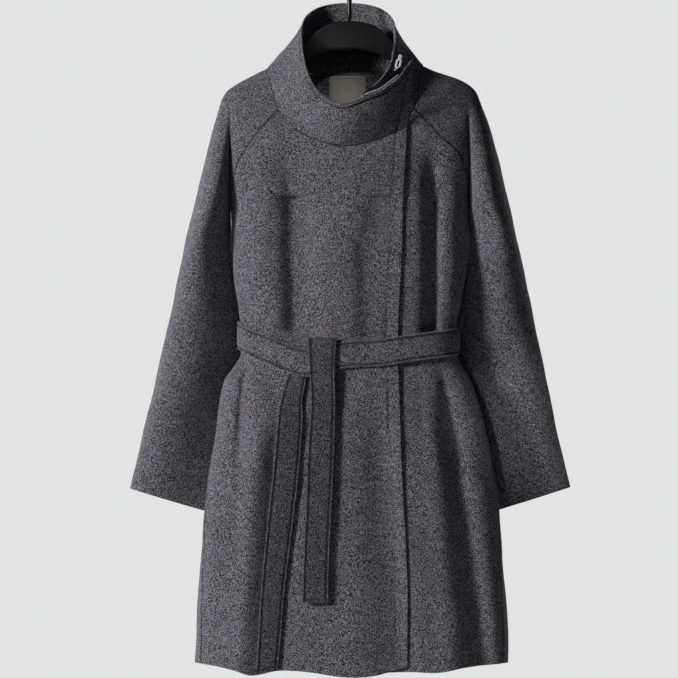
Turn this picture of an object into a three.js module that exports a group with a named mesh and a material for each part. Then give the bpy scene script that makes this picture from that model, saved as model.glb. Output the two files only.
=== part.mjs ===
// A woman's wool overcoat on a plastic hanger: raglan sleeves, a funnel collar that wraps over itself,
// an overlapping front and a half-knotted tie belt. Millimetres, +Z up, the coat's front faces -Y and
// its wearer's right side is at -X. The origin is where the rod touches the inside of the hanger's hook.
import * as THREE from "three";

// ---------- driving dimensions ----------

const CLOTH = 2.4; // thickness of the coat's doubled wool cloth
const SEAM = 0.3; // gap between two pieces where they are sewn together
const FULLNESS = 0.58; // 1 gives round sections, less gives flatter fronts and backs
const ARMPIT = -395; // height of the underarm points
const SPLIT_TOP = -225; // height where the sleeve starts to part from the body
const SPLIT_SHARPNESS = 1.7; // how late the parting deepens between there and the underarm
const SLEEVE_GAP = 1; // between the sleeve and the body at the underarm
const SLEEVE_CLEARANCE = 5; // between the hanging sleeve and the body's side
const BELT_CLEARANCE = 9; // the same, beside the belt
const UNDERLAP_DROP = 4.2; // how far the left front lies behind the right one
const UNDERLAP_END = 20; // the left front's hidden edge
const BELT_THICKNESS = 3;
const BELT_WIDTH = 45;
const BELT_OFF = 1.2; // gap between the belt and the cloth under it
const KNOT_RISE = 3.5; // how much further out the band lies over the tails' hidden ends

// ---------- tables ----------

// The body below the underarm. left and right are the outermost x, side is the y of that widest line,
// front and back are the depths before and behind it, and seam is the side seam's angle from the front.
const BODY = [
  { z: -395, left: -196.4, right: 195.2, side: 0, front: 92, back: 78, seam: 90 },
  { z: -465, left: -193.2, right: 194.6, side: -1, front: 92, back: 78, seam: 90 },
  { z: -521, left: -189.9, right: 191.5, side: -3, front: 89, back: 76, seam: 90 },
  { z: -570, left: -184, right: 184.5, side: -4, front: 83, back: 71, seam: 90 },
  { z: -600, left: -180, right: 178, side: -5, front: 77, back: 66, seam: 90 },
  { z: -640, left: -180, right: 177, side: -6, front: 75, back: 66, seam: 90 },
  { z: -657, left: -180.5, right: 177, side: -7, front: 75, back: 67, seam: 90 },
  { z: -675, left: -191, right: 186, side: -7, front: 75, back: 70, seam: 90 },
  { z: -694, left: -204.6, right: 198.5, side: -8, front: 76, back: 74, seam: 90 },
  { z: -734, left: -214.7, right: 213, side: -9, front: 87, back: 77, seam: 89 },
  { z: -784, left: -220.6, right: 226, side: -10, front: 93, back: 79, seam: 87 },
  { z: -833, left: -228.7, right: 234.3, side: -11, front: 95, back: 81, seam: 85 },
  { z: -894, left: -236.8, right: 244.5, side: -12, front: 97, back: 83, seam: 82 },
  { z: -1006, left: -246.8, right: 253.5, side: -12, front: 100, back: 86, seam: 78 },
  { z: -1100, left: -252.1, right: 260.6, side: -12, front: 102, back: 89, seam: 75 },
  { z: -1175, left: -254.4, right: 261.8, side: -12, front: 104, back: 91, seam: 73 },
];

// The heights of the body's rows at the side seams, closer together at the waist.
const ROWS = [
  -395, -440, -490, -540, -576, -600, -620, -640, -657, -675,
  -694, -714, -745, -790, -850, -920, -990, -1060, -1120, -1161,
];

// The shoulders above the underarm: the outline's x on each side, and the depths of the joined form.
const SHOULDERS = [
  { z: -178, left: -126, right: 120, front: 20, back: 57 },
  { z: -190, left: -151, right: 147, front: 24, back: 58 },
  { z: -200, left: -170.7, right: 176, front: 28, back: 60 },
  { z: -210, left: -187.5, right: 196.4, front: 32, back: 62 },
  { z: -220, left: -201.5, right: 208, front: 37, back: 64 },
  { z: -234, left: -210.4, right: 215.5, front: 46, back: 66 },
  { z: -252, left: -217, right: 222, front: 57, back: 69 },
  { z: -275, left: -224.7, right: 231, front: 68, back: 72 },
  { z: -312, left: -233.5, right: 241.2, front: 81, back: 76 },
  { z: -350, left: -242.5, right: 250.5, front: 89, back: 79 },
  { z: -395, left: -252.8, right: 261.5, front: 92, back: 80 },
];

// Raglan seams seen from the front and the back, from the neck seam down to the underarm.
const RAGLAN = {
  rightFront: [
    { v: 0, x: -118, z: -252.5 },
    { v: 0.3, x: -151, z: -288.8 },
    { v: 0.62, x: -183, z: -336.6 },
    { v: 1, x: -196.9, z: -395 },
  ],
  rightBack: [
    { v: 0, x: -98, z: -187 },
    { v: 0.35, x: -142, z: -262 },
    { v: 0.7, x: -177, z: -332 },
    { v: 1, x: -196.9, z: -395 },
  ],
  leftFront: [
    { v: 0, x: 106, z: -249 },
    { v: 0.3, x: 145, z: -290 },
    { v: 0.62, x: 183, z: -327 },
    { v: 1, x: 195.7, z: -395 },
  ],
  leftBack: [
    { v: 0, x: 84, z: -186 },
    { v: 0.35, x: 136, z: -262 },
    { v: 0.7, x: 176, z: -332 },
    { v: 1, x: 195.7, z: -395 },
  ],
};

// The neck points, where the collar meets the top of each shoulder.
const NECK_POINT = {
  right: { x: -137.3, z: -183.2 },
  left: { x: 122.1, z: -178.9 },
};

// The front neck seam, of the overlapping right front and of the left front under it.
const NECK_SEAM_OVER = [
  { x: -118, z: -252.5 },
  { x: -92, z: -281 },
  { x: -55, z: -302 },
  { x: -7, z: -312 },
  { x: 42, z: -303.6 },
  { x: 95, z: -282 },
];
const NECK_SEAM_UNDER = [
  { x: 20, z: -309 },
  { x: 50, z: -301 },
  { x: 80, z: -283 },
  { x: 106, z: -249 },
];
const NECK_SEAM_BACK = [
  { x: -98, z: -187 },
  { x: -7, z: -190 },
  { x: 84, z: -186 },
];

// The right front's free edge.
const FRONT_EDGE = [
  { z: -282, x: 95 },
  { z: -395, x: 91.2 },
  { z: -497, x: 88.8 },
  { z: -622, x: 83 },
  { z: -729, x: 85.5 },
  { z: -876, x: 89.9 },
  { z: -1021, x: 95.7 },
  { z: -1165, x: 94.6 },
];

// Hem heights, from side seam to side seam.
const HEM_OVER = [
  { x: -250, z: -1161 },
  { x: -219, z: -1165 },
  { x: -190, z: -1171.5 },
  { x: -158, z: -1180 },
  { x: -118, z: -1171.5 },
  { x: -72, z: -1173 },
  { x: -6, z: -1182 },
  { x: 40, z: -1180 },
  { x: 96, z: -1165 },
];
const HEM_UNDER = [
  { x: 20, z: -1176 },
  { x: 101, z: -1174 },
  { x: 146, z: -1175 },
  { x: 192, z: -1167 },
  { x: 258, z: -1161 },
];
const HEM_BACK = [
  { x: -250, z: -1161 },
  { x: -150, z: -1170 },
  { x: -60, z: -1165 },
  { x: 40, z: -1172 },
  { x: 140, z: -1166 },
  { x: 258, z: -1161 },
];

// Soft folds of the body: a trough (or a ridge, where deep is negative) that runs from (x, top) to
// (foot, bottom), wide on each side of its line at the top and spread at the bottom, and lean times that on
// the side of +X.
const FRONT_FOLDS = [
  { x: -97, top: -266, foot: -88, bottom: -648, wide: 19, spread: 19, deep: 12, lean: 2.2 },
  { x: -144, top: -275, foot: -143, bottom: -590, wide: 15, spread: 14, deep: -4 },
  { x: -181, top: -480, foot: -166, bottom: -615, wide: 8, spread: 8, deep: 6 },
  { x: 23, top: -430, foot: 25, bottom: -640, wide: 16, spread: 16, deep: 5 },
  { x: 136, top: -290, foot: 133, bottom: -645, wide: 13, spread: 12, deep: 15 },
  { x: 172, top: -330, foot: 168, bottom: -590, wide: 14, spread: 12, deep: -4 },
  { x: -170, top: -650, foot: -186, bottom: -840, wide: 9, spread: 9, deep: 9 },
  { x: -143, top: -675, foot: -190, bottom: -1190, wide: 14, spread: 18, deep: -9 },
  { x: -112, top: -690, foot: -150, bottom: -1200, wide: 14, spread: 18, deep: 9 },
  { x: 2, top: -670, foot: -14, bottom: -1120, wide: 13, spread: 16, deep: 9 },
  { x: 60, top: -680, foot: 52, bottom: -1200, wide: 18, spread: 24, deep: -5 },
  { x: 124, top: -675, foot: 172, bottom: -1200, wide: 16, spread: 24, deep: -5 },
  { x: 152, top: -660, foot: 224, bottom: -1210, wide: 14, spread: 22, deep: 18 },
];
const BACK_FOLDS = [
  { x: 132, top: -330, foot: 118, bottom: -650, wide: 18, spread: 15, deep: 13 },
  { x: 168, top: -340, foot: 162, bottom: -590, wide: 14, spread: 12, deep: -4 },
  { x: 20, top: -400, foot: 14, bottom: -650, wide: 24, spread: 14, deep: 7 },
  { x: -112, top: -340, foot: -120, bottom: -650, wide: 16, spread: 15, deep: 12 },
  { x: 128, top: -670, foot: 176, bottom: -1200, wide: 14, spread: 22, deep: 16 },
  { x: 90, top: -680, foot: 116, bottom: -1200, wide: 15, spread: 22, deep: -5 },
  { x: 52, top: -680, foot: 60, bottom: -1200, wide: 13, spread: 20, deep: 11 },
  { x: -40, top: -670, foot: -58, bottom: -1200, wide: 15, spread: 21, deep: 13 },
  { x: -90, top: -680, foot: -112, bottom: -1200, wide: 15, spread: 22, deep: -5 },
  { x: -136, top: -675, foot: -168, bottom: -1200, wide: 13, spread: 20, deep: 15 },
];

// Sleeves below the underarm: the ends of each section seen from the front, its half depth and its y.
const SLEEVES = {
  right: [
    { outX: -252.8, outZ: -395, inX: -197.4, inZ: -395, deep: 75, y: 0 },
    { outX: -266, outZ: -452, inX: -194, inZ: -443, deep: 71, y: 5 },
    { outX: -278.2, outZ: -506, inX: -185, inZ: -492, deep: 62, y: 17 },
    { outX: -301.5, outZ: -612, inX: -171, inZ: -597, deep: 49, y: 33 },
    { outX: -320.6, outZ: -694, inX: -175, inZ: -680, deep: 43, y: 39 },
    { outX: -342.7, outZ: -784, inX: -194, inZ: -766, deep: 36, y: 42 },
    { outX: -363.8, outZ: -876, inX: -217, inZ: -920, deep: 27, y: 43 },
  ],
  left: [
    { outX: 261.5, outZ: -395, inX: 196.2, inZ: -395, deep: 75, y: 0 },
    { outX: 273.5, outZ: -452, inX: 193, inZ: -443, deep: 71, y: 5 },
    { outX: 286, outZ: -506, inX: 184, inZ: -492, deep: 62, y: 17 },
    { outX: 308.5, outZ: -612, inX: 171, inZ: -597, deep: 49, y: 33 },
    { outX: 325.3, outZ: -694, inX: 176, inZ: -680, deep: 43, y: 39 },
    { outX: 345.6, outZ: -784, inX: 196, inZ: -766, deep: 36, y: 42 },
    { outX: 365.8, outZ: -874, inX: 219, inZ: -920, deep: 27, y: 43 },
  ],
};

// The collar, from its tucked-in end round the neck to the flap's free edge. Each station joins a point
// of the neck seam, at a place along one piece's neck edge, to a point of the rim. belly is how far the
// wall swells out between them.
const COLLAR = [
  { piece: "frontLeft", at: 0, rimX: 14, rimY: -97, rimZ: -236, belly: 0 },
  { piece: "frontLeft", at: 0.4, rimX: 48, rimY: -84, rimZ: -204, belly: 0 },
  { piece: "frontLeft", at: 0.75, rimX: 66, rimY: -68, rimZ: -177, belly: 0 },
  { piece: "frontLeft", at: 1, rimX: 72, rimY: -44, rimZ: -150, belly: 0 },
  { piece: "sleeveLeft", at: 0.25, rimX: 74, rimY: -12, rimZ: -118, belly: -3 },
  { piece: "sleeveLeft", at: 0.5, rimX: 63, rimY: 20, rimZ: -93, belly: -5 },
  { piece: "back", at: 0, rimX: 38, rimY: 42, rimZ: -77, belly: 2 },
  { piece: "back", at: 0.5, rimX: -2, rimY: 50, rimZ: -72, belly: 3 },
  { piece: "back", at: 1, rimX: -42, rimY: 42, rimZ: -77, belly: 2 },
  { piece: "sleeveRight", at: 0.5, rimX: -66, rimY: 20, rimZ: -92, belly: -6 },
  { piece: "sleeveRight", at: 0.75, rimX: -77, rimY: -12, rimZ: -118, belly: -2 },
  { piece: "frontRight", at: 0, rimX: -76, rimY: -48, rimZ: -152, belly: 2 },
  { piece: "frontRight", at: 0.13, rimX: -67, rimY: -80, rimZ: -192, belly: 5 },
  { piece: "frontRight", at: 0.3, rimX: -46, rimY: -104, rimZ: -226, belly: 7 },
  { piece: "frontRight", at: 0.52, rimX: -7, rimY: -115, rimZ: -243, belly: 8 },
  { piece: "frontRight", at: 0.76, rimX: 38, rimY: -109, rimZ: -219, belly: 6 },
  { piece: "frontRight", at: 0.89, rimX: 75, rimY: -92, rimZ: -192, belly: 4 },
  { piece: "frontRight", at: 1, rimX: 104, rimY: -70, rimZ: -168, belly: 2 },
];

// The belt's middle line: its height at each angle round the waist, 0 at the front and minus to -X.
const BELT_LINE = [
  { angle: -180, z: -620 },
  { angle: -90, z: -622 },
  { angle: -48, z: -645 },
  { angle: -24, z: -667 },
  { angle: -15, z: -666 },
  { angle: -6, z: -656 },
  { angle: 16, z: -651 },
  { angle: 42, z: -641 },
  { angle: 90, z: -631 },
  { angle: 180, z: -620 },
];
const BELT_END_LEFT = -16; // the band's two ends meet behind the front tail, at these angles
const BELT_END_RIGHT = -14.5;

// The belt's hanging ends: their edges at each height.
const TAIL_FRONT = [
  { z: -632, left: -68.5, right: -20.6 },
  { z: -680, left: -65.7, right: -23.4 },
  { z: -732, left: -63.5, right: -22.2 },
  { z: -812, left: -68.5, right: -24 },
  { z: -915, left: -72.1, right: -28.9 },
  { z: -995, left: -76, right: -32.7 },
  { z: -1059, left: -77.4, right: -33.8 },
];
const TAIL_FRONT_TOP = -634; // the fold over the band
const TAIL_FRONT_HIDDEN = -676; // its end behind the band
const TAIL_FRONT_END = -1059;
const TAIL_FRONT_OFF = 8; // how far before the skirt its outer face hangs
const TAIL_UNDER = [
  { z: -650, left: -91, right: -70 },
  { z: -676, left: -97, right: -69.5 },
  { z: -700, left: -105, right: -70.5 },
  { z: -729, left: -113, right: -76 },
  { z: -759, left: -118, right: -75.5 },
  { z: -812, left: -122, right: -78.7 },
  { z: -861, left: -127, right: -83.3 },
  { z: -960, left: -137.8, right: -94.9 },
  { z: -1043, left: -145.2, right: -105 },
  { z: -1125, left: -150, right: -112 },
  { z: -1172, left: -153.5, right: -116.3 },
];
const TAIL_UNDER_TOP = -650;
const TAIL_UNDER_END = -1172;
const TAIL_BUNCHING = 1.5; // brings its rows closer together towards the band
const TAIL_UNDER_SLANT = 9; // how much lower its outer corner hangs

// The neck label.
const LABEL = { left: -33, right: 26.5, top: -193, bottom: -252, thick: 0.8, off: 0.3 };

// The zip along the inside of the flap's rim, given by the collar's own stations.
const ZIP = { columns: 5, to: 16 + 1 / 3, wide: 12, thick: 0.8, proud: 1.6, off: 0.4 };
const SLIDER = { place: 16.2, height: 0.955, wide: 8, tall: 9, deep: 4.2 };
const PULL = {
  wide: 8.5,
  long: 24,
  thick: 1.5,
  round: 3,
  hole: 1.2,
  slotTall: 8,
  slotWide: 3.2,
  lean: 12,
  gap: 0.7,
};

// The hanger.
const HANGER = { thick: 11, bevel: 2.5, drop: 6, tip: 190, tipTall: 20 };
const HANGER_TOP = [
  { x: 0, z: -104 },
  { x: 22, z: -106 },
  { x: 44, z: -114 },
  { x: 70, z: -138 },
  { x: 98, z: -172 },
  { x: 118, z: -190 },
];
const HANGER_BOTTOM = [
  { x: 0, z: -150 },
  { x: 25, z: -152 },
  { x: 60, z: -165 },
  { x: 110, z: -200 },
  { x: 160, z: -231 },
];
const HOOK = { bar: 4, inside: 18, open: 205, foot: -103.7 };

// ---------- materials ----------

const finish = (color, roughness, metalness = 0) =>
  new THREE.MeshStandardMaterial({ color, roughness, metalness });
const WOOL = finish(0x55545a, 0.95);
const WOOL_SHADE = finish(0x4c4b51, 0.95);
const SATIN = finish(0x8b8a80, 0.6);
const STEEL = finish(0xc9c9cb, 0.25, 1);
const TAPE = finish(0x2a2a2c, 0.8);
const BLACK_PLASTIC = finish(0x0c0c0d, 0.45);

// ---------- small mathematics ----------

const degrees = (value) => (value * Math.PI) / 180;
const clamp = (value, low = 0, high = 1) => Math.min(high, Math.max(low, value));
const mix = (a, b, t) => a + (b - a) * t;
const smooth = (t) => clamp(t) ** 2 * (3 - 2 * clamp(t));

// A smooth curve through a table's rows: the column's value where the key column reaches at.
function along(table, key, at, column) {
  const last = table.length - 1;
  const rising = table[last][key] > table[0][key] ? 1 : -1;
  const reach = rising * at;
  let i = 0;
  while (i < last - 1 && rising * table[i + 1][key] < reach) i += 1;
  const slope = (j) => {
    const a = table[Math.max(j - 1, 0)];
    const b = table[Math.min(j + 1, last)];
    return (b[column] - a[column]) / (b[key] - a[key]);
  };
  const [from, to] = [table[i], table[i + 1]];
  const span = to[key] - from[key];
  const t = clamp((at - from[key]) / span);
  const bend = t * (1 - t) * span;
  return mix(from[column], to[column], smooth(t)) + bend * (slope(i) * (1 - t) - slope(i + 1) * t);
}

// The same for a table whose rows are evenly spaced stations, counted from 0.
const stationed = (table) => table.map((row, station) => ({ ...row, station }));

// ---------- the coat's surface ----------

// How far the folds push the cloth inwards at (x, z).
function foldDepth(folds, x, z) {
  let depth = 0;
  for (const fold of folds) {
    const t = (z - fold.top) / (fold.bottom - fold.top);
    if (t <= 0 || t >= 1) continue;
    const line = mix(fold.x, fold.foot, t);
    const width = mix(fold.wide, fold.spread, t) * (x > line ? (fold.lean ?? 1) : 1);
    const swell = smooth(t * 3.5) * (fold.bottom < ARMPIT * 2.8 ? 1 : smooth((1 - t) * 9));
    depth += fold.deep * swell * Math.exp(-(((x - line) / width) ** 2));
  }
  return depth;
}

// A point of the body below the underarm, at an angle round it: 0 at the front, minus towards -X.
function bodyPoint(angle, z, folded = true) {
  const row = (column) => along(BODY, "z", z, column);
  const across = Math.sin(angle);
  const x = across * (across < 0 ? -row("left") : row("right"));
  const forward = Math.cos(angle);
  const depth = forward > 0 ? row("front") : row("back");
  const profile = Math.sign(forward) * Math.abs(forward) ** FULLNESS;
  const fold = folded ? foldDepth(forward > 0 ? FRONT_FOLDS : BACK_FOLDS, x, z) : 0;
  const fade = clamp(Math.abs(forward) * 3);
  const y = row("side") - profile * (depth - fold * fade);
  return new THREE.Vector3(x, y, z);
}

// The body's angle where the front reaches x.
function bodyAngle(x, z) {
  const half = x < 0 ? -along(BODY, "z", z, "left") : along(BODY, "z", z, "right");
  return Math.asin(clamp(x / half, -1, 1));
}

// The body's front at (x, z) below the underarm, without its folds.
const frontAt = (x, z) => bodyPoint(bodyAngle(x, z), z, false).y;

// How far the sleeve has parted from the body at a height: 0 at the shoulder, 1 at the underarm.
const parting = (z) => clamp((SPLIT_TOP - z) / (SPLIT_TOP - ARMPIT)) ** SPLIT_SHARPNESS;

// A point of the shoulders above the underarm, in front of or behind the widest line.
function shoulderPoint(x, z, isFront) {
  const row = (column) => along(SHOULDERS, "z", z, column);
  const side = x < 0 ? "left" : "right";
  const depth = row(isFront ? "front" : "back");
  const outline = Math.abs(row(side));
  const bodyHalf = Math.abs(BODY[0][side]);
  const joined = depth * Math.sqrt(Math.max(0, 1 - (x / outline) ** 2));
  const bodyDepth = isFront ? BODY[0].front : BODY[0].back;
  const reach = Math.abs(x);
  let parted = 0;
  if (reach < bodyHalf) {
    parted = bodyDepth * (1 - (x / bodyHalf) ** 2) ** (FULLNESS / 2);
  } else if (outline > bodyHalf + SLEEVE_GAP) {
    const half = (outline - bodyHalf - SLEEVE_GAP) / 2;
    const off = (reach - bodyHalf - SLEEVE_GAP - half) / half;
    parted = SLEEVES.right[0].deep * Math.sqrt(Math.max(0, 1 - off ** 2));
  }
  const away = mix(joined, parted, parting(z));
  const fold = foldDepth(isFront ? FRONT_FOLDS : BACK_FOLDS, x, z);
  const kept = away - fold * clamp(away / 30);
  return new THREE.Vector3(x, isFront ? -kept : kept, z);
}

// ---------- walls ----------

// A grid of points, where makePoint gets the column's and the row's place. Rows run from 0 to 1. Columns do
// too, with one more on each side that only tells the wall which way its surface goes on past its edge.
function grid(columns, rows, makePoint) {
  const places = Array.from({ length: columns + 3 }, (_, i) => (i - 1) / columns);
  return Array.from({ length: rows + 1 }, (_, j) => places.map((u) => makePoint(u, j / rows)));
}

// A closed solid wall whose outer face is such a grid: seen from outside, columns run from left to right
// and rows from top to bottom. From row joinedFrom on, its first and last columns are one line, so the
// wall is a tube there.
function wall(points, thickness, joinedFrom = Infinity) {
  const lastRow = points.length - 1;
  const lastColumn = points[0].length - 3;
  const inwards = (j, i) => {
    const across = points[j][i + 2].clone().sub(points[j][i]);
    const above = points[j === joinedFrom ? j : Math.max(j - 1, 0)][i + 1];
    const down = points[Math.min(j + 1, lastRow)][i + 1].clone().sub(above);
    return across.cross(down).setLength(thickness);
  };
  const outer = points.map((row) => row.slice(1, -1));
  const inner = outer.map((row, j) => row.map((point, i) => point.clone().add(inwards(j, i))));
  const corners = [];
  const quad = (a, b, c, d) => corners.push(a, b, c, a, c, d);
  for (let j = 0; j < lastRow; j += 1) {
    for (let i = 0; i < lastColumn; i += 1) {
      quad(outer[j][i], outer[j + 1][i], outer[j + 1][i + 1], outer[j][i + 1]);
      quad(inner[j][i], inner[j][i + 1], inner[j + 1][i + 1], inner[j + 1][i]);
    }
    if (j >= joinedFrom) continue;
    quad(outer[j][0], inner[j][0], inner[j + 1][0], outer[j + 1][0]);
    quad(outer[j][lastColumn], outer[j + 1][lastColumn], inner[j + 1][lastColumn], inner[j][lastColumn]);
  }
  for (let i = 0; i < lastColumn; i += 1) {
    quad(outer[0][i], outer[0][i + 1], inner[0][i + 1], inner[0][i]);
    quad(outer[lastRow][i], inner[lastRow][i], inner[lastRow][i + 1], outer[lastRow][i + 1]);
  }
  return new THREE.BufferGeometry().setFromPoints(corners);
}

// ---------- body panels ----------

const YOKE_ROWS = 9;
const YOKE_BUNCHING = 1.3; // brings the rows above the underarm closer together towards the neck
const HALF_SEAM = SEAM / 2;

// Carries a function of a place from 0 to 1 on past both ends.
const carriedOn = (f) => (u) => {
  if (u < 0) return 2 * f(0) - f(-u);
  return u > 1 ? 2 * f(1) - f(2 - u) : f(u);
};

// Moves a place from 0 to 1 in from both ends by half a seam gap of a line length long.
const pulledIn = (u, length) => mix(HALF_SEAM / length, 1 - HALF_SEAM / length, u);

// A line of the front view as a function of a place from 0 to 1.
const raglan = (name) => (v) => {
  const row = RAGLAN[name];
  return { x: along(row, "v", v, "x"), z: along(row, "v", v, "z") };
};
const seamLine = (table) => (u) => {
  const x = mix(table[0].x, table[table.length - 1].x, u);
  return { x, z: along(table, "x", x, "z") };
};

// The point of a four-sided patch that its edges bound, in the front view.
function patchPoint({ top, bottom, left, right }, u, v) {
  const blend = (axis) => {
    const straight = mix(top(u)[axis], bottom(u)[axis], v);
    const leftBend = left(v)[axis] - mix(left(0)[axis], left(1)[axis], v);
    const rightBend = right(v)[axis] - mix(right(0)[axis], right(1)[axis], v);
    return straight + mix(leftBend, rightBend, u);
  };
  return { x: blend("x"), z: blend("z") };
}

// A panel of the body. Its upper rows fill the patch between the neck seam and the underarm, and its
// lower rows follow the body's sections to the hem, from one angle to another.
function bodyPanel(panel) {
  const { columns, top, left, right, angles, hem, isFront, drop = () => 0 } = panel;
  const [first, last] = angles(ARMPIT);
  const bottom = (u) => ({ x: mix(left(1).x, right(1).x, u), z: ARMPIT });
  const rise = (angle) => Math.sin(angle) - Math.sin(first);
  const share = carriedOn((u) => rise(mix(first, last, u)) / rise(last));
  const width = Math.abs(right(0).x - left(0).x);
  const upper = grid(columns, YOKE_ROWS, (u, row) => {
    const v = mix(0.003, 1, row ** YOKE_BUNCHING);
    const place = patchPoint({ top, bottom, left, right }, pulledIn(mix(u, share(u), smooth(v)), width), v);
    const point = shoulderPoint(place.x, place.z, isFront);
    point.y += drop(place.x, right(v).x);
    return point;
  });
  const lower = grid(columns, ROWS.length - 1, (u, row) => {
    const level = ROWS[Math.round(row * (ROWS.length - 1))];
    const v = (level - ARMPIT) / (ROWS[ROWS.length - 1] - ARMPIT);
    const [start, end] = angles(level);
    const angle = mix(start, end, pulledIn(u, 200 * (end - start)));
    const x = bodyPoint(angle, level).x;
    const point = bodyPoint(angle, level + (along(hem, "x", x, "z") - ROWS[ROWS.length - 1]) * v ** 4);
    point.y += drop(point.x, bodyPoint(end, point.z).x);
    return point;
  });
  return wall([...upper.slice(0, -1), ...lower], CLOTH);
}

const sideSeam = (z) => degrees(along(BODY, "z", z, "seam"));
const edgeAngle = (z) => bodyAngle(along(FRONT_EDGE, "z", z, "x"), z);

// How far the left front lies back at x, from nothing at its sleeve or side seam.
function underlapDrop(x, seamX) {
  const reach = Math.min(45, Math.max(seamX - 98, 8));
  return UNDERLAP_DROP * smooth((seamX - x) / reach);
}

function frontRight() {
  return bodyPanel({
    columns: 24,
    top: seamLine(NECK_SEAM_OVER),
    left: raglan("rightFront"),
    right: (v) => {
      const z = mix(NECK_SEAM_OVER[NECK_SEAM_OVER.length - 1].z, ARMPIT, v);
      return { x: along(FRONT_EDGE, "z", z, "x"), z };
    },
    angles: (z) => [-sideSeam(z), edgeAngle(z)],
    hem: HEM_OVER,
    isFront: true,
  });
}

function frontLeft() {
  return bodyPanel({
    columns: 16,
    top: seamLine(NECK_SEAM_UNDER),
    left: (v) => ({ x: UNDERLAP_END, z: mix(NECK_SEAM_UNDER[0].z, ARMPIT, v) }),
    right: raglan("leftFront"),
    angles: (z) => [bodyAngle(UNDERLAP_END, z), sideSeam(z)],
    hem: HEM_UNDER,
    isFront: true,
    drop: underlapDrop,
  });
}

function back() {
  return bodyPanel({
    columns: 26,
    top: (u) => seamLine(NECK_SEAM_BACK)(1 - u),
    left: raglan("leftBack"),
    right: raglan("rightBack"),
    angles: (z) => [sideSeam(z), 2 * Math.PI - sideSeam(z)],
    hem: HEM_BACK,
    isFront: false,
  });
}

// ---------- sleeves ----------

const SLEEVE_COLUMNS = 18;
const SLEEVE_ROWS = 12;

// Moves a sleeve's point out sideways until it clears the body and the belt.
function clearOfBody(point) {
  const row = (column) => along(BODY, "z", point.z, column);
  const half = point.x < 0 ? -row("left") : row("right");
  const off = point.y - row("side");
  const reach = Math.abs(off) / (off < 0 ? row("front") : row("back"));
  const edge = half * Math.sqrt(Math.max(0, 1 - reach ** (2 / FULLNESS)));
  const besideBelt = point.z < -585 && point.z > -690;
  const hanging = besideBelt ? BELT_CLEARANCE : SLEEVE_CLEARANCE;
  const clearance = mix(SLEEVE_GAP, hanging, smooth((ARMPIT - point.z) / 60));
  const x = Math.max(Math.abs(point.x), edge + clearance);
  return new THREE.Vector3(Math.sign(point.x) * x, point.y, point.z);
}

// A sleeve: its upper rows lie between the two raglan seams, over the ridge of the shoulder, and from the
// underarm on its rows are closed sections down to the cuff.
function sleeve(wearerSide) {
  const isRight = wearerSide === "right";
  const outline = isRight ? "left" : "right";
  const seams = ["Back", "Front"].map((name) => raglan(wearerSide + name));
  const [startSeam, endSeam] = isRight ? seams : seams.slice().reverse();
  const ridge = (v) => {
    const z = mix(NECK_POINT[wearerSide].z, ARMPIT, v);
    return { x: along(SHOULDERS, "z", z, outline), z };
  };
  const upper = grid(SLEEVE_COLUMNS, YOKE_ROWS, (u, row) => {
    const v = mix(0.003, 1, row ** YOKE_BUNCHING);
    const across = pulledIn(u, 150);
    const inFirstHalf = across < 0.5;
    const t = inFirstHalf ? 2 * across : 2 - 2 * across;
    const rounded = carriedOn((at) => (1 - Math.cos(at * Math.PI)) / 2)(t);
    const toRidge = mix(Math.sin((t * Math.PI) / 2), rounded, smooth(v));
    const seam = (inFirstHalf ? startSeam : endSeam)(v);
    const x = mix(seam.x, ridge(v).x, toRidge);
    const z = mix(seam.z, ridge(v).z, toRidge);
    return shoulderPoint(x, z, inFirstHalf !== isRight);
  });
  const sections = stationed(SLEEVES[wearerSide]);
  const lower = grid(SLEEVE_COLUMNS, SLEEVE_ROWS, (u, v) => {
    const at = (column) => along(sections, "station", v * (sections.length - 1), column);
    const toOuter = (1 - Math.cos(2 * Math.PI * u)) / 2;
    const x = mix(at("inX"), at("outX"), toOuter);
    const z = mix(at("inZ"), at("outZ"), toOuter);
    const y = at("y") + (isRight ? 1 : -1) * at("deep") * Math.sin(2 * Math.PI * u);
    return clearOfBody(new THREE.Vector3(x, y, z));
  });
  for (const row of lower) row[SLEEVE_COLUMNS + 1] = row[1].clone();
  return wall([...upper.slice(0, -1), ...lower], CLOTH, YOKE_ROWS);
}

// ---------- collar ----------

const COLLAR_STATIONS = stationed(COLLAR);
const COLLAR_COLUMNS = 3; // between two stations
const NECK_AXIS = { x: -5, y: -20 };

// A point of the neck seam, at a place along one piece's neck edge.
const NECK_EDGES = {
  frontRight: (at) => neckPoint(seamLine(NECK_SEAM_OVER)(at), true),
  frontLeft: (at) => neckPoint(seamLine(NECK_SEAM_UNDER)(at), true, UNDERLAP_DROP * smooth((1 - at) * 10)),
  back: (at) => neckPoint(seamLine(NECK_SEAM_BACK)(1 - at), false),
  sleeveRight: (at) => sleeveNeckPoint("right", at, at > 0.5),
  sleeveLeft: (at) => sleeveNeckPoint("left", at, at < 0.5),
};

function neckPoint({ x, z }, isFront, drop = 0) {
  return shoulderPoint(x, z, isFront).add(new THREE.Vector3(0, drop, 0));
}

function sleeveNeckPoint(wearerSide, at, isFront) {
  const seam = raglan(wearerSide + (isFront ? "Front" : "Back"))(0);
  const ridge = NECK_POINT[wearerSide];
  const toRidge = Math.sin((1 - Math.abs(2 * at - 1)) * (Math.PI / 2));
  return neckPoint({ x: mix(seam.x, ridge.x, toRidge), z: mix(seam.z, ridge.z, toRidge) }, isFront);
}

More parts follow.
